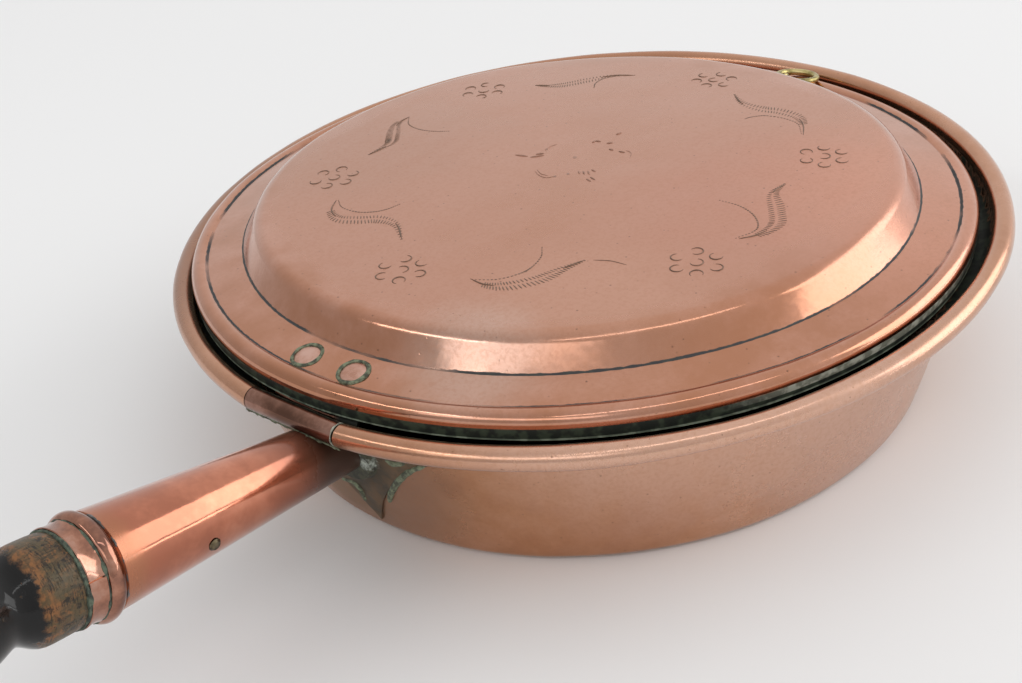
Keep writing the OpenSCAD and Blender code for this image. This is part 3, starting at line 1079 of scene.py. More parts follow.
@dataclass
class PanBody:
    """The round bowl with its ledge and rolled rim."""

    rim_r: float = 146.35
    bore_r: float = 2.55
    sheet_t: float = 1.1
    wall_r: float = 133.55
    base_r: float = 121.0
    floor_z: float = -59.45
    floor_rings: Tuple[int, int] = (112, 8)
    corner: float = 4.0
    bulge: float = 0.8
    ledge_depth: float = 8.4
    ledge_slope: float = 12.0
    riser_r: float = 4.5
    ledge_bend: float = 2.5
    roll_end: float = -125.0
    waves: Tuple[Point3, ...] = ((0.35, 55.0, 3.1), (0.1, 16.0, 8.2))
    gap_w: float = 39.5
    gap_x: Point2 = (-3.65, 9.0)
    gap_z: Point2 = (-9.5, 8.0)
    edge_r: float = 3.74
    edge_t: float = 0.22
    edge_turn: float = -44.0
    edge_reach: float = 13.0
    edge_tear: float = 24.0
    steps: int = 288

    def wall(self, u: float) -> Point2:
        """Works out the wall's slight curve.

        Args:
            u: Share of its height.

        Returns:
            The wall's middle there.
        """
        foot, head = (self.base_r, self.floor_z), (self.wall_r, -self.ledge_depth)
        out = foot[0] + (head[0] - foot[0]) * u + self.bulge * 4 * u * (1 - u)
        return out, foot[1] + (head[1] - foot[1]) * u

    def path(self) -> List[Point2]:
        """Works out the bowl's section.

        Returns:
            The middle of the sheet, from the floor's centre to the roll's end.
        """
        roll = self.bore_r + self.sheet_t / 2
        slope = math.radians(self.ledge_slope)
        rx = self.rim_r - roll - self.riser_r
        lx = rx + self.riser_r * math.sin(slope)
        ledge = (lx, (lx - self.wall_r) * math.tan(slope) - self.ledge_depth)
        rz = ledge[1] + self.riser_r * math.cos(slope)
        return (
            [(r, self.floor_z) for r in range(0, *self.floor_rings)]
            + bend((0, self.floor_z), self.wall(0), self.wall(0.125), self.corner, 8)
            + [self.wall(u / 20) for u in range(4, 18)]
            + bend(self.wall(0.93), self.wall(1), ledge, self.ledge_bend, 7)
            + arc((rx, rz), self.riser_r, self.ledge_slope - 90, 0, 9)
            + arc((self.rim_r, 0), roll, 180, self.roll_end, 36)
        )

    def build(self, material: Material) -> None:
        """Builds and dresses the bowl.

        Args:
            material: Copper of the bowl.
        """
        bm = revolve(sheet_outline(self.path(), self.sheet_t), self.steps)
        wobble(bm, *self.waves)
        half = self.gap_w / 2
        low, high = zip(self.gap_x, (-half, half), self.gap_z)
        bm = cut_box(bm, FRAMES.pan().inverted() @ FRAMES.hinge(), low, high)
        place(bm, "bowl_copper", FRAMES.pan(), Body.PAN, material, Slot.PAN, ["pan_bowl"])

    def build_ragged_edge(self, material: Material) -> None:
        """Builds the torn edge of the rim's sheet under the hinge.

        Args:
            material: Its crust.
        """
        bm = bmesh.new()
        bmesh.ops.create_grid(bm, x_segments=150, y_segments=3, size=1.0)
        reach = self.gap_w / 2 + 1.0
        for v in bm.verts:
            along, share = v.co.x * reach, (1 - v.co.y) / 2
            coarse = noise.noise(Vector((along * 0.4, 3.0, 0)))
            torn = coarse + 0.9 * noise.noise(Vector((along * 1.3, 9.0, 0)))
            down = math.radians(self.edge_turn - share * (self.edge_reach + self.edge_tear * torn))
            out = self.edge_r + share * (0.35 + 1.5 * max(torn, 0.0))
            v.co = Vector((out * math.cos(down), along, out * math.sin(down)))
        bmesh.ops.recalc_face_normals(bm, faces=bm.faces)
        bmesh.ops.solidify(bm, geom=bm.faces[:], thickness=self.edge_t)
        place(bm, "torn_edge", FRAMES.hinge(), Body.PAN, material, Slot.DARK, sharp=30)


# ---------------------------------------------------------------- the lid


@dataclass
class HingedLid:
    """The domed lid with its band, bead and skirt."""

    lid_r: float = 139.85
    sheet_t: float = 0.9
    bead_w: float = 6.2
    bead_sink: float = 2.1
    band_w: float = 13.7
    band_fall: float = 2.4
    band_rings: Tuple[float, ...] = (124.0, 127.0, 130.0, 132.5)
    dome_h: float = 10.2
    dome_lean: float = 6.6
    dome_round: float = 6.0
    dome_crown: float = 2.2
    crown_step: float = 3.5
    crown_rings: int = 31
    foot_round: float = 0.8
    skirt_h: float = 5.0
    skirt_lean: float = 0.3
    waves: Tuple[Point3, ...] = ((0.5, 70.0, 1.4), (0.12, 18.0, 5.5))
    steps: int = 288
    rivet_turn: float = -0.3
    rivet_pitch: float = 19.9475
    rivet_place: float = 0.58
    rivet_head: Tuple[Point2, ...] = (
        (0, 0.5), (2.8, 0.48), (3.8, 0.36), (4.3, 0.1), (4.35, -0.1), (2.0, -0.1),
    )
    rivet_shank: Tuple[Point2, ...] = ((2.0, -2.6), (3.0, -3.0), (0, -3.1))
    rivet_crust: Tuple[Point2, ...] = (
        (4.2, -0.1), (4.25, 0.35), (4.45, 0.62), (4.85, 0.74), (5.25, 0.62), (5.5, 0.35), (5.65, -0.1),
    )
    knuckle_r: float = 3.75
    knuckle_end: float = 18.65
    foot_r: float = field(init=False)
    crown_r: float = field(init=False)

    def __post_init__(self) -> None:
        """Works out the dome's foot and the crown's radius."""
        mid = self.bead_w / 2
        start = math.pi - math.asin(self.bead_sink / mid)
        self.foot_r = self.lid_r - mid + mid * math.cos(start) - self.band_w
        top = self.foot_r - self.dome_lean
        self.crown_r = (top**2 + self.dome_crown**2) / (2 * self.dome_crown)

    def crown(self, r: float) -> float:
        """Returns the height of the crown's middle at a radius."""
        return self.dome_h + self.dome_crown - self.crown_r + math.sqrt(self.crown_r**2 - r * r)

    def band(self, r: float) -> float:
        """Returns the height of the flat band's middle at a radius."""
        return -(r - self.foot_r) * self.band_fall / self.band_w

    def path(self) -> List[Point2]:
        """Works out the lid's section.

        Returns:
            The middle of the sheet, from the crown to the skirt's edge.
        """
        mid = self.bead_w / 2
        bead = (self.lid_r - mid, -self.band_fall - self.bead_sink)
        start = 180 - math.degrees(math.asin(self.bead_sink / mid))
        shoulder = (self.foot_r - self.dome_lean, self.dome_h)
        foot = (self.foot_r, 0.0)
        edge = (foot[0] + self.band_w, -self.band_fall)
        crown = [(i * self.crown_step, self.crown(i * self.crown_step)) for i in range(self.crown_rings)]
        side = bend(crown[-1], shoulder, foot, self.dome_round, 10)
        return (
            crown
            + side
            + bend(side[-1], foot, edge, self.foot_round, 3)
            + [(r, self.band(r)) for r in self.band_rings]
            + [edge]
            + arc(bead, mid, start - 8, 0, 16)
            + [(self.lid_r - self.skirt_lean / 2, bead[1] - self.skirt_h / 2)]
            + [(self.lid_r - self.skirt_lean, bead[1] - self.skirt_h)]
        )

    def build(self, material: Material) -> None:
        """Builds and dresses the shell.

        Args:
            material: Copper of the lid.
        """
        bm = revolve(sheet_outline(self.path(), self.sheet_t), self.steps)
        wobble(bm, *self.waves)
        place(bm, "lid_copper", FRAMES.lid(), Body.LID, material, Slot.LID, ["lid_shell"])

    def rivet_frame(self, side: int) -> Matrix:
        """Finds a rivet's place on the band.

        Args:
            side: -1 or 1.

        Returns:
            Its frame in the lid's frame, Z away from the band.
        """
        r = self.foot_r + self.band_w * self.rivet_place
        turn = math.radians(self.rivet_turn) + side * math.asin(self.rivet_pitch / 2 / r)
        return (
            Matrix.Rotation(turn, 4, "Z")
            @ Matrix.Translation((r, 0, self.band(r)))
            @ Matrix.Rotation(math.atan(self.band_fall / self.band_w), 4, "Y")
        )

    def build_rivets(self, copper: Material, crust: Material) -> None:
        """Builds the flattened rivet heads and the crust round them.

        Args:
            copper: Copper of the heads.
            crust: Verdigris round the heads.
        """
        heads, rings = bmesh.new(), bmesh.new()
        top = self.sheet_t / 2
        for side in (-1, 1):
            head = revolve([(r, top + z) for r, z in self.rivet_head] + list(self.rivet_shank), 40)
            wobble(head, (0.14, 3.5, 2.0 + side))
            ring = revolve([(r, top + z) for r, z in self.rivet_crust], 96, closed=True)
            wobble(ring, (0.34, 4.0, 9.0 + side), (0.06, 1.0, 4.0 + side))
            for part, target in ((head, heads), (ring, rings)):
                bmesh.ops.transform(part, matrix=self.rivet_frame(side), verts=part.verts)
                merge_into(target, part)
        place(heads, "rivet_heads", FRAMES.lid(), Body.LID, copper, Slot.DARK, ["hinge_rivets"])
        place(rings, "rivet_verdigris", FRAMES.lid(), Body.LID, crust, Slot.DARK)

    def build_knuckle_edge(self, crust: Material) -> None:
        """Builds the thin crust at the knuckle's free end.

        Args:
            crust: Verdigris.
        """
        ring = revolve(bead_outline(self.knuckle_r - 0.28, 0.0, 0.26, 0.3), 72, closed=True)
        wobble(ring, (0.2, 2.0, 5.0))
        turn = Matrix.Translation((0, self.knuckle_end, 0)) @ turned(90, "X")
        bmesh.ops.transform(ring, matrix=turn, verts=ring.verts)
        place(ring, "knuckle_verdigris", FRAMES.hinge(), Body.LID, crust, Slot.DARK)


@dataclass
class LidOrnament:
    """Punched rosettes, feather sprays and sprigs on the lid's crown."""

    lid: HingedLid
    lift: float = 0.02
    seed: int = 11
    plan_r: float = 108.0
    tick_h: float = 0.07
    rosettes: Tuple[Tuple[float, float, float], ...] = (
        (41.7, 77.5, 31), (88.3, -4.2, 33), (45.8, -75.8, 20),
        (-45.0, -77.5, 30), (-92.5, 3.3, 5), (-44.2, 76.7, 28),
    )
    petal_out: float = 7.0
    petal_r: float = 2.1
    petal_w: float = 0.52
    feathers: Tuple[Tuple[Point2, ...], ...] = (
        ((22.5, 81.3), (16.7, 85.3), (8.3, 86.3), (-0.8, 81.3), (-10, 75.3), (-18.3, 75.3)),
        ((83, 20), (83.7, 26.7), (80.8, 33.3), (73.3, 39.5), (65, 42.5), (57.2, 45.8)),
        ((59.7, -61.3), (66.7, -57), (70, -50), (67.5, -42.5), (64.2, -35.8), (65, -27.5), (72.5, -18.3)),
        ((-10.8, -88.7), (-3, -88), (6.7, -80.8), (13.3, -76.7), (25, -77.5)),
        ((-84.2, -29.2), (-80, -37.5), (-71.7, -44.2), (-64.2, -49.2), (-60, -54.2), (-58, -60.3)),
        ((-56.7, 62), (-65, 57.5), (-70.8, 51.7), (-72.5, 43.3), (-71.7, 35.8), (-74.2, 26.7), (-81.3, 19.2)),
    )
    sides: Tuple[int, ...] = (-1, -1, -1, -1, 1, -1)
    feather_steps: int = 38
    feather_ends: Tuple[int, int] = (12, 31)
    feather_bare: float = 0.17
    feather_rows: Tuple[Point3, ...] = ((2.0, 2.9, 0.5), (-1.3, 1.9, 0.46))
    slant: float = 0.3
    stem_steps: int = 28
    stems: Tuple[Tuple[Point2, ...], ...] = (
        ((22.5, 80.3), (14.2, 83), (7, 78.3), (3, 70.8), (2.5, 62.5)),
        ((82.7, 22), (79.2, 28.3), (73.3, 32.3), (68.3, 33.3), (61.7, 32), (56.7, 28.7)),
        ((59.7, -60.3), (63.3, -55), (63.8, -47.5), (61.3, -41.7), (57.5, -38.3), (53, -36.7)),
        ((-10.8, -88.7), (-4.7, -83.3), (-2, -75.8), (-2.5, -68.3), (-4.7, -62.5)),
        ((-84.2, -29.2), (-81.3, -34.7), (-75.8, -38.7), (-70, -38.7), (-65.3, -36.3)),
        ((-57.5, 60.8), (-65, 55.3), (-67.5, 48.3), (-66.7, 40.8), (-63.3, 37), (-60.8, 35.8)),
    )
    tail: Tuple[Point2, ...] = ((55.8, 48.3), (53.7, 53.3), (53.3, 59.2))
    lines: Tuple[Tuple[Point2, ...], ...] = (
        ((-4.7, -15.8), (-8.1, -16.0), (-11.2, -15.0)),
        ((11.8, -8.0), (13.9, -4.6), (14.5, -1.0), (12.0, 1.5)),
        ((10.4, -8.1), (12.6, -4.7), (12.9, -1.4)),
        ((-17.1, 11.7), (-16.1, 14.6), (-12.2, 16.7)),
    )
    dots: Tuple[Point2, ...] = ((-4.1, -1.7), (-5.8, -15.9), (8.7, 4.4), (12.3, 1.3))
    dashes: Tuple[Tuple[Point2, Point2], ...] = (
        ((3.2, -23.7), (2.3, -18.4)), ((2.6, -17.0), (-0.9, -13.2)), ((-0.3, -16.7), (-2.3, -14.3)),
        ((-17.9, -3.9), (-19.6, -3.5)), ((-19.6, -3.5), (-20.1, -1.4)), ((-19.4, 1.6), (-21.1, 3.3)),
        ((-27.8, 0.0), (-30.3, 1.0)), ((-15.4, 5.4), (-15.4, 7.4)), ((-15.3, 9.7), (-15.4, 12.4)),
        ((5.2, 6.4), (7.0, 8.4)), ((4.5, 7.9), (6.6, 10.1)), ((3.7, 9.5), (5.9, 11.7)),
        ((2.2, 10.0), (2.9, 12.2)), ((7.5, 13.1), (8.7, 16.2)), ((9.4, 12.9), (10.4, 15.5)),
    )

    def on_crown(self, p: Vector) -> Vector:
        """Finds a place on the crown's outside.

        Args:
            p: Point of the plan.

        Returns:
            The place over it.
        """
        top = self.lid.crown(min(p.length, self.plan_r)) + self.lid.sheet_t / 2
        coarse, fine = (unevenness(Vector((p.x, p.y, top)), *wave) for wave in self.lid.waves)
        return Vector((p.x, p.y, top + coarse + fine + self.lift))

    def tick(self, bm: BMesh, p: Vector, along: Vector, length: float, width: float) -> None:
        """Adds one punch mark.

        Args:
            bm: Mesh that grows.
            p: Its middle in the plan.
            along: Its direction in the plan.
            length: Its length.
            width: Its width.
        """
        turn = Matrix.Rotation(math.atan2(along.y, along.x), 4, "Z")
        size = Matrix.Diagonal((length / 2, width / 2, self.tick_h, 1))
        here = Matrix.Translation(self.on_crown(p)) @ turn @ size
        bmesh.ops.create_icosphere(bm, subdivisions=2, radius=1.0, matrix=here)

    def stroke(self, bm: BMesh, path: Sequence[Vector], width: float) -> None:
        """Adds one fine tapered line.

        Args:
            bm: Mesh that grows.
            path: Its points in the plan.
            width: Its width at the middle.
        """
        points = [self.on_crown(p) for p in path]
        merge_into(bm, sweep(points, lambda u: width / 2 * (0.25 + 0.75 * swell(u, 0.7)), 5))

    def rosette(self, bm: BMesh, rng: random.Random, x: float, y: float, start: float) -> None:
        """Adds a flower of crescents that open at random.

        Args:
            bm: Mesh that grows.
            rng: Draws each crescent's turn and length.
            x: Its middle in the plan.
            y: Its middle in the plan.
            start: Angle of its first petal in degrees.
        """
        for spot in [(x, y)] + arc((x, y), self.petal_out, start, start + 300, 5):
            mid, span = rng.uniform(-60, 240), rng.uniform(200, 290)
            curl = arc(spot, self.petal_r, mid - span / 2, mid + span / 2, 12)
            self.stroke(bm, [Vector(p) for p in curl], self.petal_w)

    def feather(self, bm: BMesh, points: Sequence[Point2], side: int) -> None:
        """Adds a leaf of two rows of marks along a double curve.

        Args:
            bm: Mesh that grows.
            points: Middle of the leaf in the plan.
            side: Side of its longer marks.
        """
        last = self.feather_steps
        line = spline(points, last)
        self.stroke(bm, line[: self.feather_ends[0]], 0.6)
        self.stroke(bm, line[self.feather_ends[1] :], 0.7)
        for i, p in enumerate(line):
            u = i / last
            run = (line[min(i + 1, last)] - line[max(i - 1, 0)]).normalized()
            out = Vector((-run.y, run.x)) * side
            full = min(1.0, 0.1 + 2.2 * u) * min(1.0, 0.12 + 2.6 * (1 - u))
            way = (out + run * self.slant).normalized()
            if u > self.feather_bare:
                for far, length, width in self.feather_rows:
                    self.tick(bm, p + out * far * full, way, length * full + 0.3, width)

    def stem(self, bm: BMesh, points: Sequence[Point2]) -> None:
        """Adds a stem of small marks that swell towards its middle.

        Args:
            bm: Mesh that grows.
            points: Middle of the stem in the plan.
        """
        last = self.stem_steps
        line = spline(points, last)
        for i, p in enumerate(line):
            run = line[min(i + 1, last)] - line[max(i - 1, 0)]
            full = math.sin(math.pi * i / last)
            self.tick(bm, p, run, 0.65 + 0.45 * full, 0.42 + 0.3 * full)

    def sprigs(self, bm: BMesh) -> None:
        """Adds the rubbed lines, dots and dashes of the lid's middle.

        Args:
            bm: Mesh that grows.
        """
        for line in self.lines:
            self.stroke(bm, spline(line, 14), 0.34)
        for k, (x, y) in enumerate(self.dots):
            wide = 1.4 if k else 2.1
            self.tick(bm, Vector((x, y)), Vector((1, 0.3)), wide, wide * 0.8)
        for start, end in self.dashes:
            a, b = Vector(start), Vector(end)
            self.stroke(bm, [a.lerp(b, k / 6) for k in range(7)], 0.75)

    def build(self, material: Material, faint: Material) -> None:
        """Builds and dresses all the marks.

        Args:
            material: Shade of the punched marks.
            faint: Shade of the rubbed marks in the middle.
        """
        rng = random.Random(self.seed)
        flowers, leaves, middle = bmesh.new(), bmesh.new(), bmesh.new()
        for x, y, start in self.rosettes:
            self.rosette(flowers, rng, x, y, start)
        for points, stem, side in zip(self.feathers, self.stems, self.sides):
            self.feather(leaves, points, side)
            self.stem(leaves, stem)
        self.stroke(leaves, spline(self.tail, 12), 0.35)
        self.sprigs(middle)
        marks = (
            (flowers, "lid_rosettes", material),
            (leaves, "lid_sprays", material),
            (middle, "lid_sprigs", faint),
        )
        for bm, name, shade in marks:
            place(bm, name, FRAMES.lid(), Body.LID, shade, Slot.LID, sharp=180)


# ---------------------------------------------------------------- socket and handle


@dataclass
class HandleSocket:
    """The tapered copper tube's collar, its seamed band and the crust on its star plate."""

    mouth_r: float = 13.8
    length: float = 97.5
    lip_w: float = 5.3
    lip_t: float = 0.8
    lip_gap: float = 0.3
    lip_waves: Tuple[Point3, ...] = ((0.14, 7.0, 6.0),)
    collar_w: float = 4.8
    collar_h: float = 2.2
    collar_flat: float = 0.2
    collar_waves: Tuple[Point3, ...] = ((0.12, 9.0, 4.0),)
    seam_turn: float = 18.0
    seam_w: float = 0.4
    plate_rise: float = 0.55
    plate_edges: Tuple[Tuple[Point2, ...], ...] = (
        ((17.3, 43.0), (19.1, 41.8), (21.8, 42.2), (24.4, 43.6)),
        ((31.4, 43.9), (26.6, 40.9), (22.2, 37.3), (17.9, 32.6), (14.3, 27.9), (11.2, 23.3), (9.3, 19.5)),
        ((-10.5, 21.6), (-6.7, 22.9), (-4.2, 23.1), (-2.9, 22.0), (-2.4, 20.2), (-2.7, 17.0), (-3.5, 14.5)),
    )
    steps: int = 128
    lip_at: float = field(init=False)
    collar_at: float = field(init=False)

    def __post_init__(self) -> None:
        """Works out where the lip and the collar lie."""
        self.lip_at = self.length - self.lip_w
        self.collar_at = self.lip_at - self.collar_w / 2 - self.lip_gap

    def build_collar(self, copper: Material) -> None:
        """Builds the half-round collar.

        Args:
            copper: Copper of the bands.
        """
        r, half, z = self.mouth_r, self.collar_w / 2, self.collar_at
        flat, out = self.collar_flat, self.collar_h - self.collar_flat
        turns = [math.radians(90 - 9 * i) for i in range(21)]
        outline = [(r, z - half), (r, z + half)]
        outline += [(r + flat + out * math.cos(a), z + half * math.sin(a)) for a in turns]
        collar = revolve(outline, self.steps, closed=True)
        wobble(collar, *self.collar_waves)
        place(collar, "collar_copper", FRAMES.handle(), Body.PAN, copper, Slot.PAN, ["socket_collar"])

    def build_lip(self, copper: Material) -> None:
        """Builds the band at the mouth, with its open seam.

        Args:
            copper: Copper of the bands.
        """
        r, t, w, z = self.mouth_r, self.lip_t, self.lip_w, self.lip_at
        lip = revolve(
            [(r, z), (r, z + w), (r + t - 0.15, z + w), (r + t, z + w - 0.25), (r + t - 0.1, z + w * 0.85),
             (r + t - 0.28, z + w * 0.6), (r + t - 0.3, z + w * 0.4), (r + t - 0.15, z + w * 0.15),
             (r + t, z + 0.25), (r + t - 0.15, z)],
            self.steps,
            closed=True,
        )
        wobble(lip, *self.lip_waves)
        half = self.seam_w / 2
        lip = cut_box(lip, turned(90 + self.seam_turn, "Z"), (0, -half, z - 1), (2 * r, half, z + w + 1))
        place(lip, "lip_copper", FRAMES.handle(), Body.PAN, copper, Slot.PAN, ["socket_lip"])

    def build_deposits(self, crust: Material, solder: Material) -> None:
        """Builds the solder by the collar and the crust beside the band.

        Args:
            crust: Verdigris in the grooves.
            solder: Grey solder on the tube's side of the collar.
        """
        r, rings, line = self.mouth_r, bmesh.new(), bmesh.new()
        deposits = (
            (rings, r + 0.3, self.lip_at - 0.05, 0.62, 0.42),
            (rings, r - 0.1, self.length + 0.3, 0.7, 0.5),
            (line, r + 0.5, self.collar_at - self.collar_w / 2 - 0.8, 0.36, 0.3),
        )
        for target, out, at, size, rough in deposits:
            ring = revolve(bead_outline(out, at, size, size), 2 * self.steps, closed=True)
            wobble(ring, (rough, 3.4, out + at), (0.1, 0.9, out - at))
            merge_into(target, ring)
        place(line, "collar_solder", FRAMES.handle(), Body.PAN, solder, Slot.SOLDER)
        place(rings, "socket_verdigris", FRAMES.handle(), Body.PAN, crust, Slot.SOLDER)

    def build_plate_edges(self, crust: Material) -> None:
        """Builds the raised verdigris along the star plate's edges.

        Args:
            crust: Pale verdigris.
        """
        bm = bmesh.new()
        for k, points in enumerate(self.plate_edges):
            path = [self.on_wall(*p) for p in spline(points, 40)]
            bar = sweep(path, lambda u, k=k: self.crust_r(u, k), 10)
            wobble(bar, (0.25, 2.5, 3.0 + k))
            merge_into(bm, bar)
        place(bm, "plate_verdigris", Matrix.Identity(4), Body.PAN, crust, Slot.SOLDER)

    def crust_r(self, u: float, seed: int) -> float:
        """Returns the radius of a plate edge's crust at a share of the edge."""
        return 0.6 + 0.65 * swell(u, 0.5) + 0.1 * noise.noise(Vector((9 * u, seed, 0)))

    def on_wall(self, y: float, z: float) -> Vector:
        """Finds a place on the bowl's wall beside the plate.

        Args:
            y: Its width from the handle's middle.
            z: Its height above the floor.

        Returns:
            The place.
        """
        bowl = PanBody()
        share = (z - FRAMES.rim_h - bowl.floor_z) / (-bowl.ledge_depth - bowl.floor_z)
        r = bowl.wall(share)[0] + bowl.sheet_t / 2 + self.plate_rise
        return Vector((math.sqrt(r * r - y * y), y, z))


@dataclass
class TurnedHandle:
    """The long turned handle with its worn bulb."""

    mouth_r: float = 13.8
    bulb: float = 14.05
    grip: float = 13.5
    thin: float = 9.5
    knob: float = 13.5
    length: float = 625.0
    at: float = 97.5
    hole_r: float = 4.0
    waves: Tuple[Point3, ...] = ((0.12, 12.0, 2.2),)

    def outline(self) -> List[Point2]:
        """Works out the handle's outline.

        Returns:
            Radius and distance along the handle of each point.
        """
        b, g, t, k, n = self.bulb, self.grip, self.thin, self.knob, self.length
        near = [
            (0, -60), (9.9, -60), (12.3, -16), (12.4, 0.1), (self.mouth_r - 0.1, 0.15), (b - 0.15, 2),
            (b - 0.05, 4), (b, 7), (b, 9), (b - 0.1, 10.6), (b - 0.5, 12.2), (b - 1.2, 13.6), (b - 2.2, 15),
            (b - 3.0, 16.4), (b - 3.4, 17.4), (b - 3.5, 18.4), (b - 3.3, 19.6), (b - 2.7, 21.1),
            (b - 1.8, 23.5), (b - 0.8, 26.5), (b - 0.1, 29.2), (b + 0.3, 32), (b + 0.1, 34.4),
            (b - 0.7, 36.4), (b - 1.8, 37.6), (g - 2.6, 38.8), (g - 3, 40), (g - 3.3, 43), (g - 3.4, 46),
        ]
        start, slim = near[-1][1], g - 3.4 - t
        shares = [i / 30 for i in range(1, 31)]
        swell = [3.4 * math.sin(math.pi * math.sqrt(u)) for u in shares]
        long = [
            (t + slim * (1 - u) + out, start + (n - start - 3 * k) * u) for u, out in zip(shares, swell)
        ]
        neck = [
            (t + 1.6, n - 2.95 * k), (t + 2.6, n - 2.9 * k), (t + 3.2, n - 2.75 * k), (t + 2.6, n - 2.6 * k),
            (t + 0.2, n - 2.5 * k), (t - 1.0, n - 2.43 * k), (t - 1.6, n - 2.35 * k), (t - 1.8, n - 2.1 * k),
        ]
        turns = [math.radians(145 - 5 * i) for i in range(29)]
        ball = [(k * math.sin(a), n - k + k * math.cos(a)) for a in turns]
        return near + long + neck + ball + [(0, n)]

    def build(self, material: Material) -> None:
        """Builds and dresses the handle.

        Args:
            material: The worn wood.
        """
        bm = revolve([(r, z + self.at) for r, z in self.outline()], 96)
        wobble(bm, *self.waves)
        drill = bmesh.new()
        middle = Matrix.Translation((0, 0, self.at + self.length - self.knob))
        bmesh.ops.create_cone(
            drill, cap_ends=True, segments=32, radius1=self.hole_r, radius2=self.hole_r,
            depth=2 * self.knob + 8, matrix=middle @ turned(90, "X"),
        )
        bm = cut_mesh(bm, drill)
        place(bm, "turned_wood", FRAMES.handle(), Body.PAN, material, Slot.WOOD, ["wood_handle"], sharp=50)


# ---------------------------------------------------------------- studio


@dataclass(frozen=True)
class Softbox:
    """An area lamp that faces the pan: angles in degrees, lengths in metres, power in watts."""

    name: str
    azimuth: float
    elevation: float
    distance: float
    size: Point2
    power: float

    def build(self) -> None:
        """Adds the lamp."""
        data = bpy.data.lights.new(self.name, "AREA")
        data.shape = "RECTANGLE"
        data.size, data.size_y = self.size
        data.energy = self.power
        lamp = add_object(self.name, data)
        way = direction(self.azimuth, self.elevation)
        lamp.location = way * self.distance
        lamp.rotation_euler = way.to_track_quat("Z", "Y").to_euler()


@dataclass
class Studio:
    """Plain floor, soft lights and the camera, with lengths in metres and angles in degrees."""

    focal_px: float = 1419.0
    width_px: float = 1022.0
    sensor_mm: float = 36.0
    near: float = 0.01
    distance: float = 0.5227
    elevation: float = 27.377
    azimuth: float = 38.2
    roll: float = 6.537
    pan: float = -3.412
    tilt: float = 4.794
    target: Point3 = (0.0, 0.0, 0.06)
    floor_half: float = 30.0
    floor_z: float = -0.0002
    floor_colour: Colour = (0.88, 0.878, 0.878)
    floor_rough: float = 0.9
    sky: Point2 = (0.545, 0.89)
    sky_azimuth: float = 165.0
    sky_lift: float = 0.25
    sky_span: float = 0.75
    lamps: Tuple[Softbox, ...] = (
        Softbox("window_right", 138.0, 22.5, 3.0, (2.6, 1.6), 28.0),
        Softbox("sill_right", 131.0, 2.8, 3.0, (2.4, 0.14), 4.5),
        Softbox("window_left", 15.0, 34.5, 3.2, (2.6, 0.8), 8.6),
        Softbox("strip_left", -22.0, 44.0, 3.2, (2.0, 0.24), 6.8),
        Softbox("strip_right", 65.0, 60.0, 3.2, (2.8, 0.18), 5.2),
    )

    def build_camera(self) -> None:
        """Adds the camera, at the photograph's place and turn."""
        out = direction(self.azimuth, self.elevation)
        az = math.radians(self.azimuth)
        right = Vector((-math.sin(az), math.cos(az), 0.0))
        axes = Matrix((right, out.cross(right), out))
        turn = (turned(self.roll, "Z") @ turned(self.tilt, "X") @ turned(self.pan, "Y")).to_3x3()
        data = bpy.data.cameras.new("camera")
        data.sensor_width = self.sensor_mm
        data.lens = self.focal_px / self.width_px * self.sensor_mm
        data.clip_start = self.near
        cam = add_object("camera", data)
        there = Matrix.Translation(Vector(self.target) + out * self.distance)
        cam.matrix_world = there @ (turn @ axes).transposed().to_4x4()
        bpy.context.scene.camera = cam

    def build_floor(self) -> None:
        """Adds the plain pale floor."""
        bm = bmesh.new()
        bmesh.ops.create_grid(bm, x_segments=1, y_segments=1, size=self.floor_half)
        bmesh.ops.translate(bm, vec=(0, 0, self.floor_z), verts=bm.verts)
        me = to_mesh(bm, "floor")
        me.materials.append(Surface("floor_paint").close(self.floor_colour, self.floor_rough, 0.0))
        add_object("floor", me)

    def build_world(self) -> None:
        """Lights the scene softly from all sides, and most from the sky's azimuth."""
        world = bpy.data.worlds.new("surroundings")
        world.use_nodes = True
        n = Nodes(world.node_tree)
        turn = math.radians(self.sky_azimuth)
        bright = (math.cos(turn), math.sin(turn), self.sky_lift)
        share = n.vector("DOT_PRODUCT", n.add("TexCoord", {}).outputs["Generated"], bright)
        strength = n.span(share, -self.sky_span, self.sky_span, self.sky)
        n.fill(world.node_tree.nodes["Background"], {0: (1.0, 1.0, 1.0), 1: strength})
        bpy.context.scene.world = world

    def build(self) -> None:
        """Builds the whole studio."""
        self.build_camera()
        self.build_floor()
        self.build_world()
        for lamp in self.lamps:
            lamp.build()
        bpy.context.scene.view_settings.view_transform = "Standard"
        LOG.info("studio built")


# ---------------------------------------------------------------- main


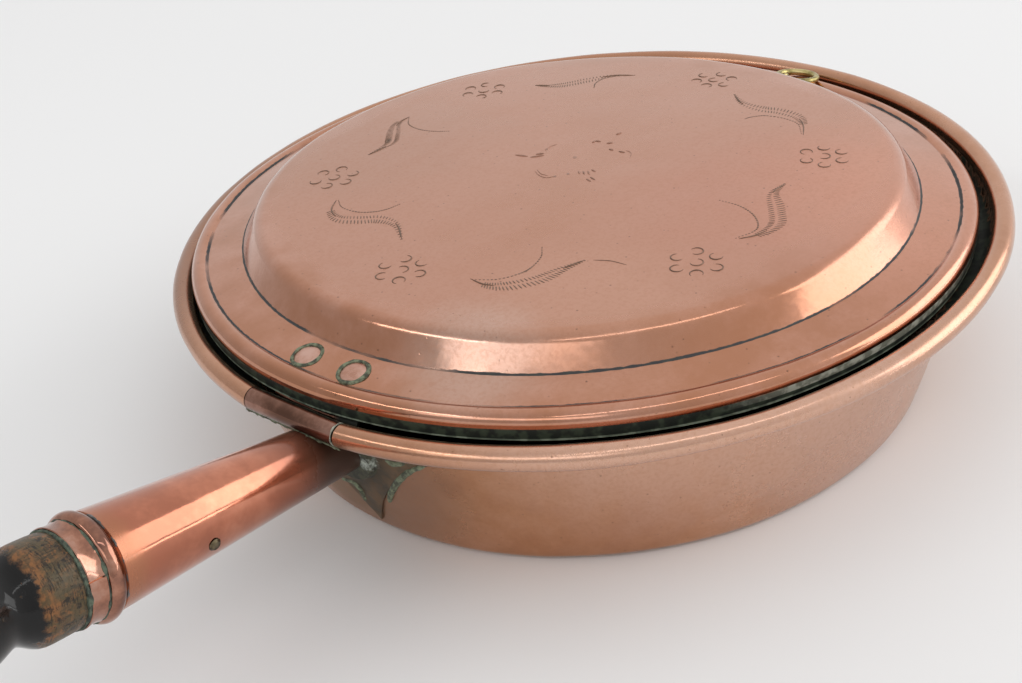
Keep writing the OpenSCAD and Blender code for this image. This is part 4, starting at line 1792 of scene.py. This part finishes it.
def finishes() -> Iterator[Tuple[str, Matrix, Union[CopperFinish, CrustFinish, WornWood]]]:
    """Lists the finishes.

    Returns:
        Each finish after its material's name and the frame of its pattern.
    """
    pan, lid, handle = FRAMES.pan(), FRAMES.lid(), FRAMES.handle()
    foot = HingedLid().foot_r
    # Stains and patches of painted light or shade: centre, inner and outer radius, colour, share, roughness
    # added, metal left, grain, ragged.
    # Creases: radius, width, breaks, lowest and highest height, dark colour, spots' colour and share.
    yield "pan_copper", pan, CopperFinish(
        base=(0.55, 0.265, 0.13), pale=(0.60, 0.31, 0.175), deep=(0.46, 0.205, 0.095), wax=0.3,
        rough=(0.15, 0.24), pit_share=0.62, pit_size=2.6, pit_tone=0.9, mottle=0.2,
        dust=Dust(-9.0, -4.0, 0.02, (0.57, 0.32, 0.235), 0.5, 0.03),
        stains_or_light=(
            StainOrLight((131.0, 2.0, -28.0), 22.0, 46.0, (0.30, 0.16, 0.10), 0.75),
            StainOrLight((128.0, -16.0, -38.0), 10.0, 32.0, (0.20, 0.13, 0.08), 0.75, 0.25, 0.5),
            # Painted shade: darker copper over the pan's left side, away from the lamps.
            StainOrLight((75.0, -125.0, 0.0), 35.0, 110.0, (0.33, 0.17, 0.11), 0.9, 0.1, 0.9, 12.0, 30.0),
            StainOrLight((-118.0, -80.0, 0.0), 25.0, 95.0, (0.46, 0.215, 0.125), 0.8, 0.05, 1.0, 12.0, 30.0),
            # Painted light: paler copper on the near rim and wall, lit from the camera's side.
            StainOrLight((98.0, 106.0, 8.0), 30.0, 85.0, (0.69, 0.42, 0.31), 0.85, 0.03, 1.0, 12.0, 30.0),
            # Painted reflection: paler copper on the right wall where the window-lit floor reflects, with a
            # slightly rough film.
            StainOrLight((30.0, 128.0, -34.0), 15.0, 70.0, (0.68, 0.45, 0.36), 0.7, 0.12, 0.9, 12.0, 25.0),
        ),
        creases=(
            # Verdigris and dirt in the groove under the lid, darkened almost to black as painted shade.
            Crease(139.2, 6.0, 0.0, -8.6, -1.4, (0.012, 0.015, 0.012), (0.035, 0.048, 0.03), 0.8),
        ),
        seed=3.0,
    )
    yield "lid_copper", lid, CopperFinish(
        base=(0.53, 0.25, 0.16), pale=(0.58, 0.30, 0.21), deep=(0.46, 0.20, 0.11), rough=(0.1, 0.18),
        wax=0.4, pit_share=0.62, pit_size=2.8, pit_tone=0.95, mottle=0.26,
        dust=Dust(10.75, 11.05, 0.16, (0.53, 0.262, 0.175)),
        stains_or_light=(
            StainOrLight((-10.0, 82.0, 12.0), 20.0, 75.0, (0.545, 0.255, 0.175), 0.75, 0.12, 0.8, 14.0, 30.0),
            StainOrLight((20.0, -85.0, 12.0), 15.0, 70.0, (0.475, 0.255, 0.175), 0.6, 0.12, 0.8, 14.0, 30.0),
            StainOrLight((78.0, 62.0, 12.0), 14.0, 48.0, (0.58, 0.305, 0.21), 0.6, 0.1, 0.8, 14.0, 26.0),
            # Painted light: paler, redder copper on the lid's right band and bead, towards the window lamp.
            StainOrLight((-45.0, 125.0, 0.0), 25.0, 85.0, (0.68, 0.315, 0.21), 0.6, 0.04, 1.0, 14.0, 30.0),
            # Painted highlight: paler copper where the near lamp's reflection falls on the dome's side.
            StainOrLight((112.0, 42.0, 5.0), 8.0, 30.0, (0.64, 0.44, 0.36), 0.6, 0.05, 1.0, 8.0, 12.0),
        ),
        creases=(
            Crease(foot + 0.4, 0.62, 0.34, low=-1.5, high=2.2, spots=0.3),
            Crease(134.4, 0.9, 0.44, low=-3.5, high=-1.0, spots=0.2),
            # Dark green verdigris on the skirt, darkened almost to black as painted shade under the bead.
            Crease(140.4, 1.3, 0.02, -12.0, -5.6, (0.014, 0.02, 0.016), (0.05, 0.07, 0.045), 0.8),
            # Pale verdigris on the skirt's top at the right, brightened as a painted highlight.
            Crease(
                140.2, 2.0, 0.3, -7.6, -5.3, (0.17, 0.18, 0.14), (0.40, 0.42, 0.35), 1.0,
                centre=(32.0, 136.0, -6.0), reach=62.0,
            ),
            Crease(140.1, 2.0, 0.2, -10.5, -8.95, (0.12, 0.15, 0.11), (0.27, 0.33, 0.25), 1.0),
        ),
    )
    yield "rivet_copper", lid, CopperFinish(
        base=(0.60, 0.345, 0.265), pale=(0.68, 0.43, 0.35), deep=(0.48, 0.25, 0.18), rough=(0.24, 0.36),
        cloud_size=12.0, pit_size=2.0,
    )
    yield "tube_copper", handle, CopperFinish(
        base=(0.58, 0.21, 0.12), pale=(0.66, 0.28, 0.175), deep=(0.43, 0.145, 0.08), rough=(0.07, 0.15),
        wax=0.6, pit_share=0.2, dents=0.4,
        stains_or_light=(
            # Tarnish at the joint with the pan, darkened further as painted shadow under the knuckle.
            StainOrLight((0.0, 0.0, 4.0), 9.0, 38.0, (0.16, 0.05, 0.028), 0.9, 0.1, 0.6, 5.0, 2.0),
            StainOrLight((0.0, 4.0, 0.0), 9.0, 24.0, (0.04, 0.018, 0.011), 0.95, 0.15, 0.1, 3.0, 5.0),
            StainOrLight((0.0, 3.0, 93.5), 15.0, 20.5, (0.40, 0.155, 0.075), 0.8, 0.25, 0.8, 4.0, 5.0),
        ),
        seed=9.0,
    )
    yield "band_copper", handle, CopperFinish(
        base=(0.41, 0.19, 0.125), pale=(0.50, 0.29, 0.22), deep=(0.20, 0.095, 0.07), rough=(0.08, 0.16),
        wax=0.15, cloud_size=30.0, pit_size=2.5, dents=0.9, seed=4.0,
    )
    yield "dark_copper", FRAMES.hinge(), CopperFinish(
        base=(0.24, 0.12, 0.085), pale=(0.36, 0.20, 0.155), deep=(0.13, 0.065, 0.045), rough=(0.13, 0.24),
        cloud_size=30.0, seed=5.0,
        # Dark dirt by the knuckle's end, darkened as painted shade of the gap there.
        stains_or_light=(StainOrLight((-14.0, 20.0, -2.0), 10.0, 14.0, (0.02, 0.028, 0.02), 0.95, 0.4, 0.1, 3.0, 3.0),),
    )
    white = StainOrLight((132.5, 9.5, -19.5), 1.2, 4.6, (0.5, 0.55, 0.48), 0.97, 0.2, 0.0, 1.0, 7.0)
    yield "plate_tarnish", pan, CrustFinish(
        (0.075, 0.055, 0.032), (0.17, 0.105, 0.058), 9.0, (0.36, 0.55), 0.55,
        stains_or_light=(StainOrLight((131.0, 2.0, -20.0), 7.0, 19.0, (0.022, 0.026, 0.018), 0.85, grain=3.0), white),
    )
    yield "verdigris", pan, CrustFinish((0.02, 0.026, 0.019), (0.095, 0.12, 0.082), 2.0)
    yield "pale_verdigris", pan, CrustFinish((0.05, 0.056, 0.035), (0.215, 0.245, 0.155), 1.8)
    yield "white_crust", pan, CrustFinish((0.13, 0.13, 0.10), (0.40, 0.41, 0.33), 1.8)
    yield "old_solder", pan, CrustFinish(
        (0.024, 0.024, 0.015), (0.075, 0.075, 0.048), 3.0, stains_or_light=(white,)
    )
    yield "grey_solder", handle, CrustFinish(
        (0.085, 0.085, 0.08), (0.19, 0.175, 0.17), 2.0, (0.4, 0.6), 0.3
    )
    yield "iron", pan, CrustFinish(
        (0.012, 0.016, 0.011), (0.045, 0.055, 0.035), 2.0, (0.4, 0.6), 0.4
    )
    yield "browned_nail", handle, CrustFinish(
        (0.05, 0.032, 0.018), (0.15, 0.115, 0.06), 2.0, (0.35, 0.5), 0.5
    )
    yield "aged_brass", lid, CopperFinish(
        base=(0.47, 0.38, 0.15), pale=(0.60, 0.50, 0.24), deep=(0.23, 0.19, 0.08), rough=(0.22, 0.36),
        cloud_size=10.0, pit_size=1.2, seed=7.0,
    )
    yield "punch_shade", lid, CrustFinish(
        (0.16, 0.098, 0.065), (0.28, 0.17, 0.12), 3.0, (0.45, 0.6), 0.5, 0.05
    )
    yield "rubbed_shade", lid, CrustFinish(
        (0.31, 0.175, 0.125), (0.42, 0.24, 0.178), 3.0, (0.4, 0.55), 0.5, 0.05
    )
    yield "worn_wood", handle, WornWood()


def dress_nodes(nodes: Dict[str, Object], skins: Dict[str, Material]) -> None:
    """Gives the CAD nodes that show as they are their finishes.

    Args:
        nodes: CAD nodes by name.
        skins: Materials by name.
    """
    wear = {
        "rim_wire": "iron",
        "hinge_strap": "dark_copper",
        "ring_eye": "aged_brass",
        "lift_ring": "aged_brass",
        "handle_plate": "plate_tarnish",
        "socket_solder": "old_solder",
        "socket_tube": "tube_copper",
        "handle_nail": "browned_nail",
    }
    for name, skin in wear.items():
        slots = nodes[name].data.materials
        slots.clear()
        slots.append(skins[skin])
        LOG.info("%s dressed with %s", name, skin)


def main() -> None:
    """Builds every piece in order."""
    logging.basicConfig(level=logging.INFO, format="%(message)s")
    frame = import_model()
    effects = Effects()
    skins = {name: finish.make(name, effects, pattern) for name, pattern, finish in finishes()}
    Studio().build()

    bowl = PanBody()
    bowl.build(skins["pan_copper"])
    bowl.build_ragged_edge(skins["pale_verdigris"])
    shell = HingedLid()
    shell.build(skins["lid_copper"])
    shell.build_rivets(skins["rivet_copper"], skins["pale_verdigris"])
    shell.build_knuckle_edge(skins["white_crust"])
    LidOrnament(shell).build(skins["punch_shade"], skins["rubbed_shade"])
    socket = HandleSocket()
    socket.build_collar(skins["band_copper"])
    socket.build_lip(skins["band_copper"])
    socket.build_deposits(skins["verdigris"], skins["grey_solder"])
    socket.build_plate_edges(skins["pale_verdigris"])
    dress_nodes(frame["nodes"], skins)
    TurnedHandle().build(skins["worn_wood"])


if __name__ == "__main__":
    main()
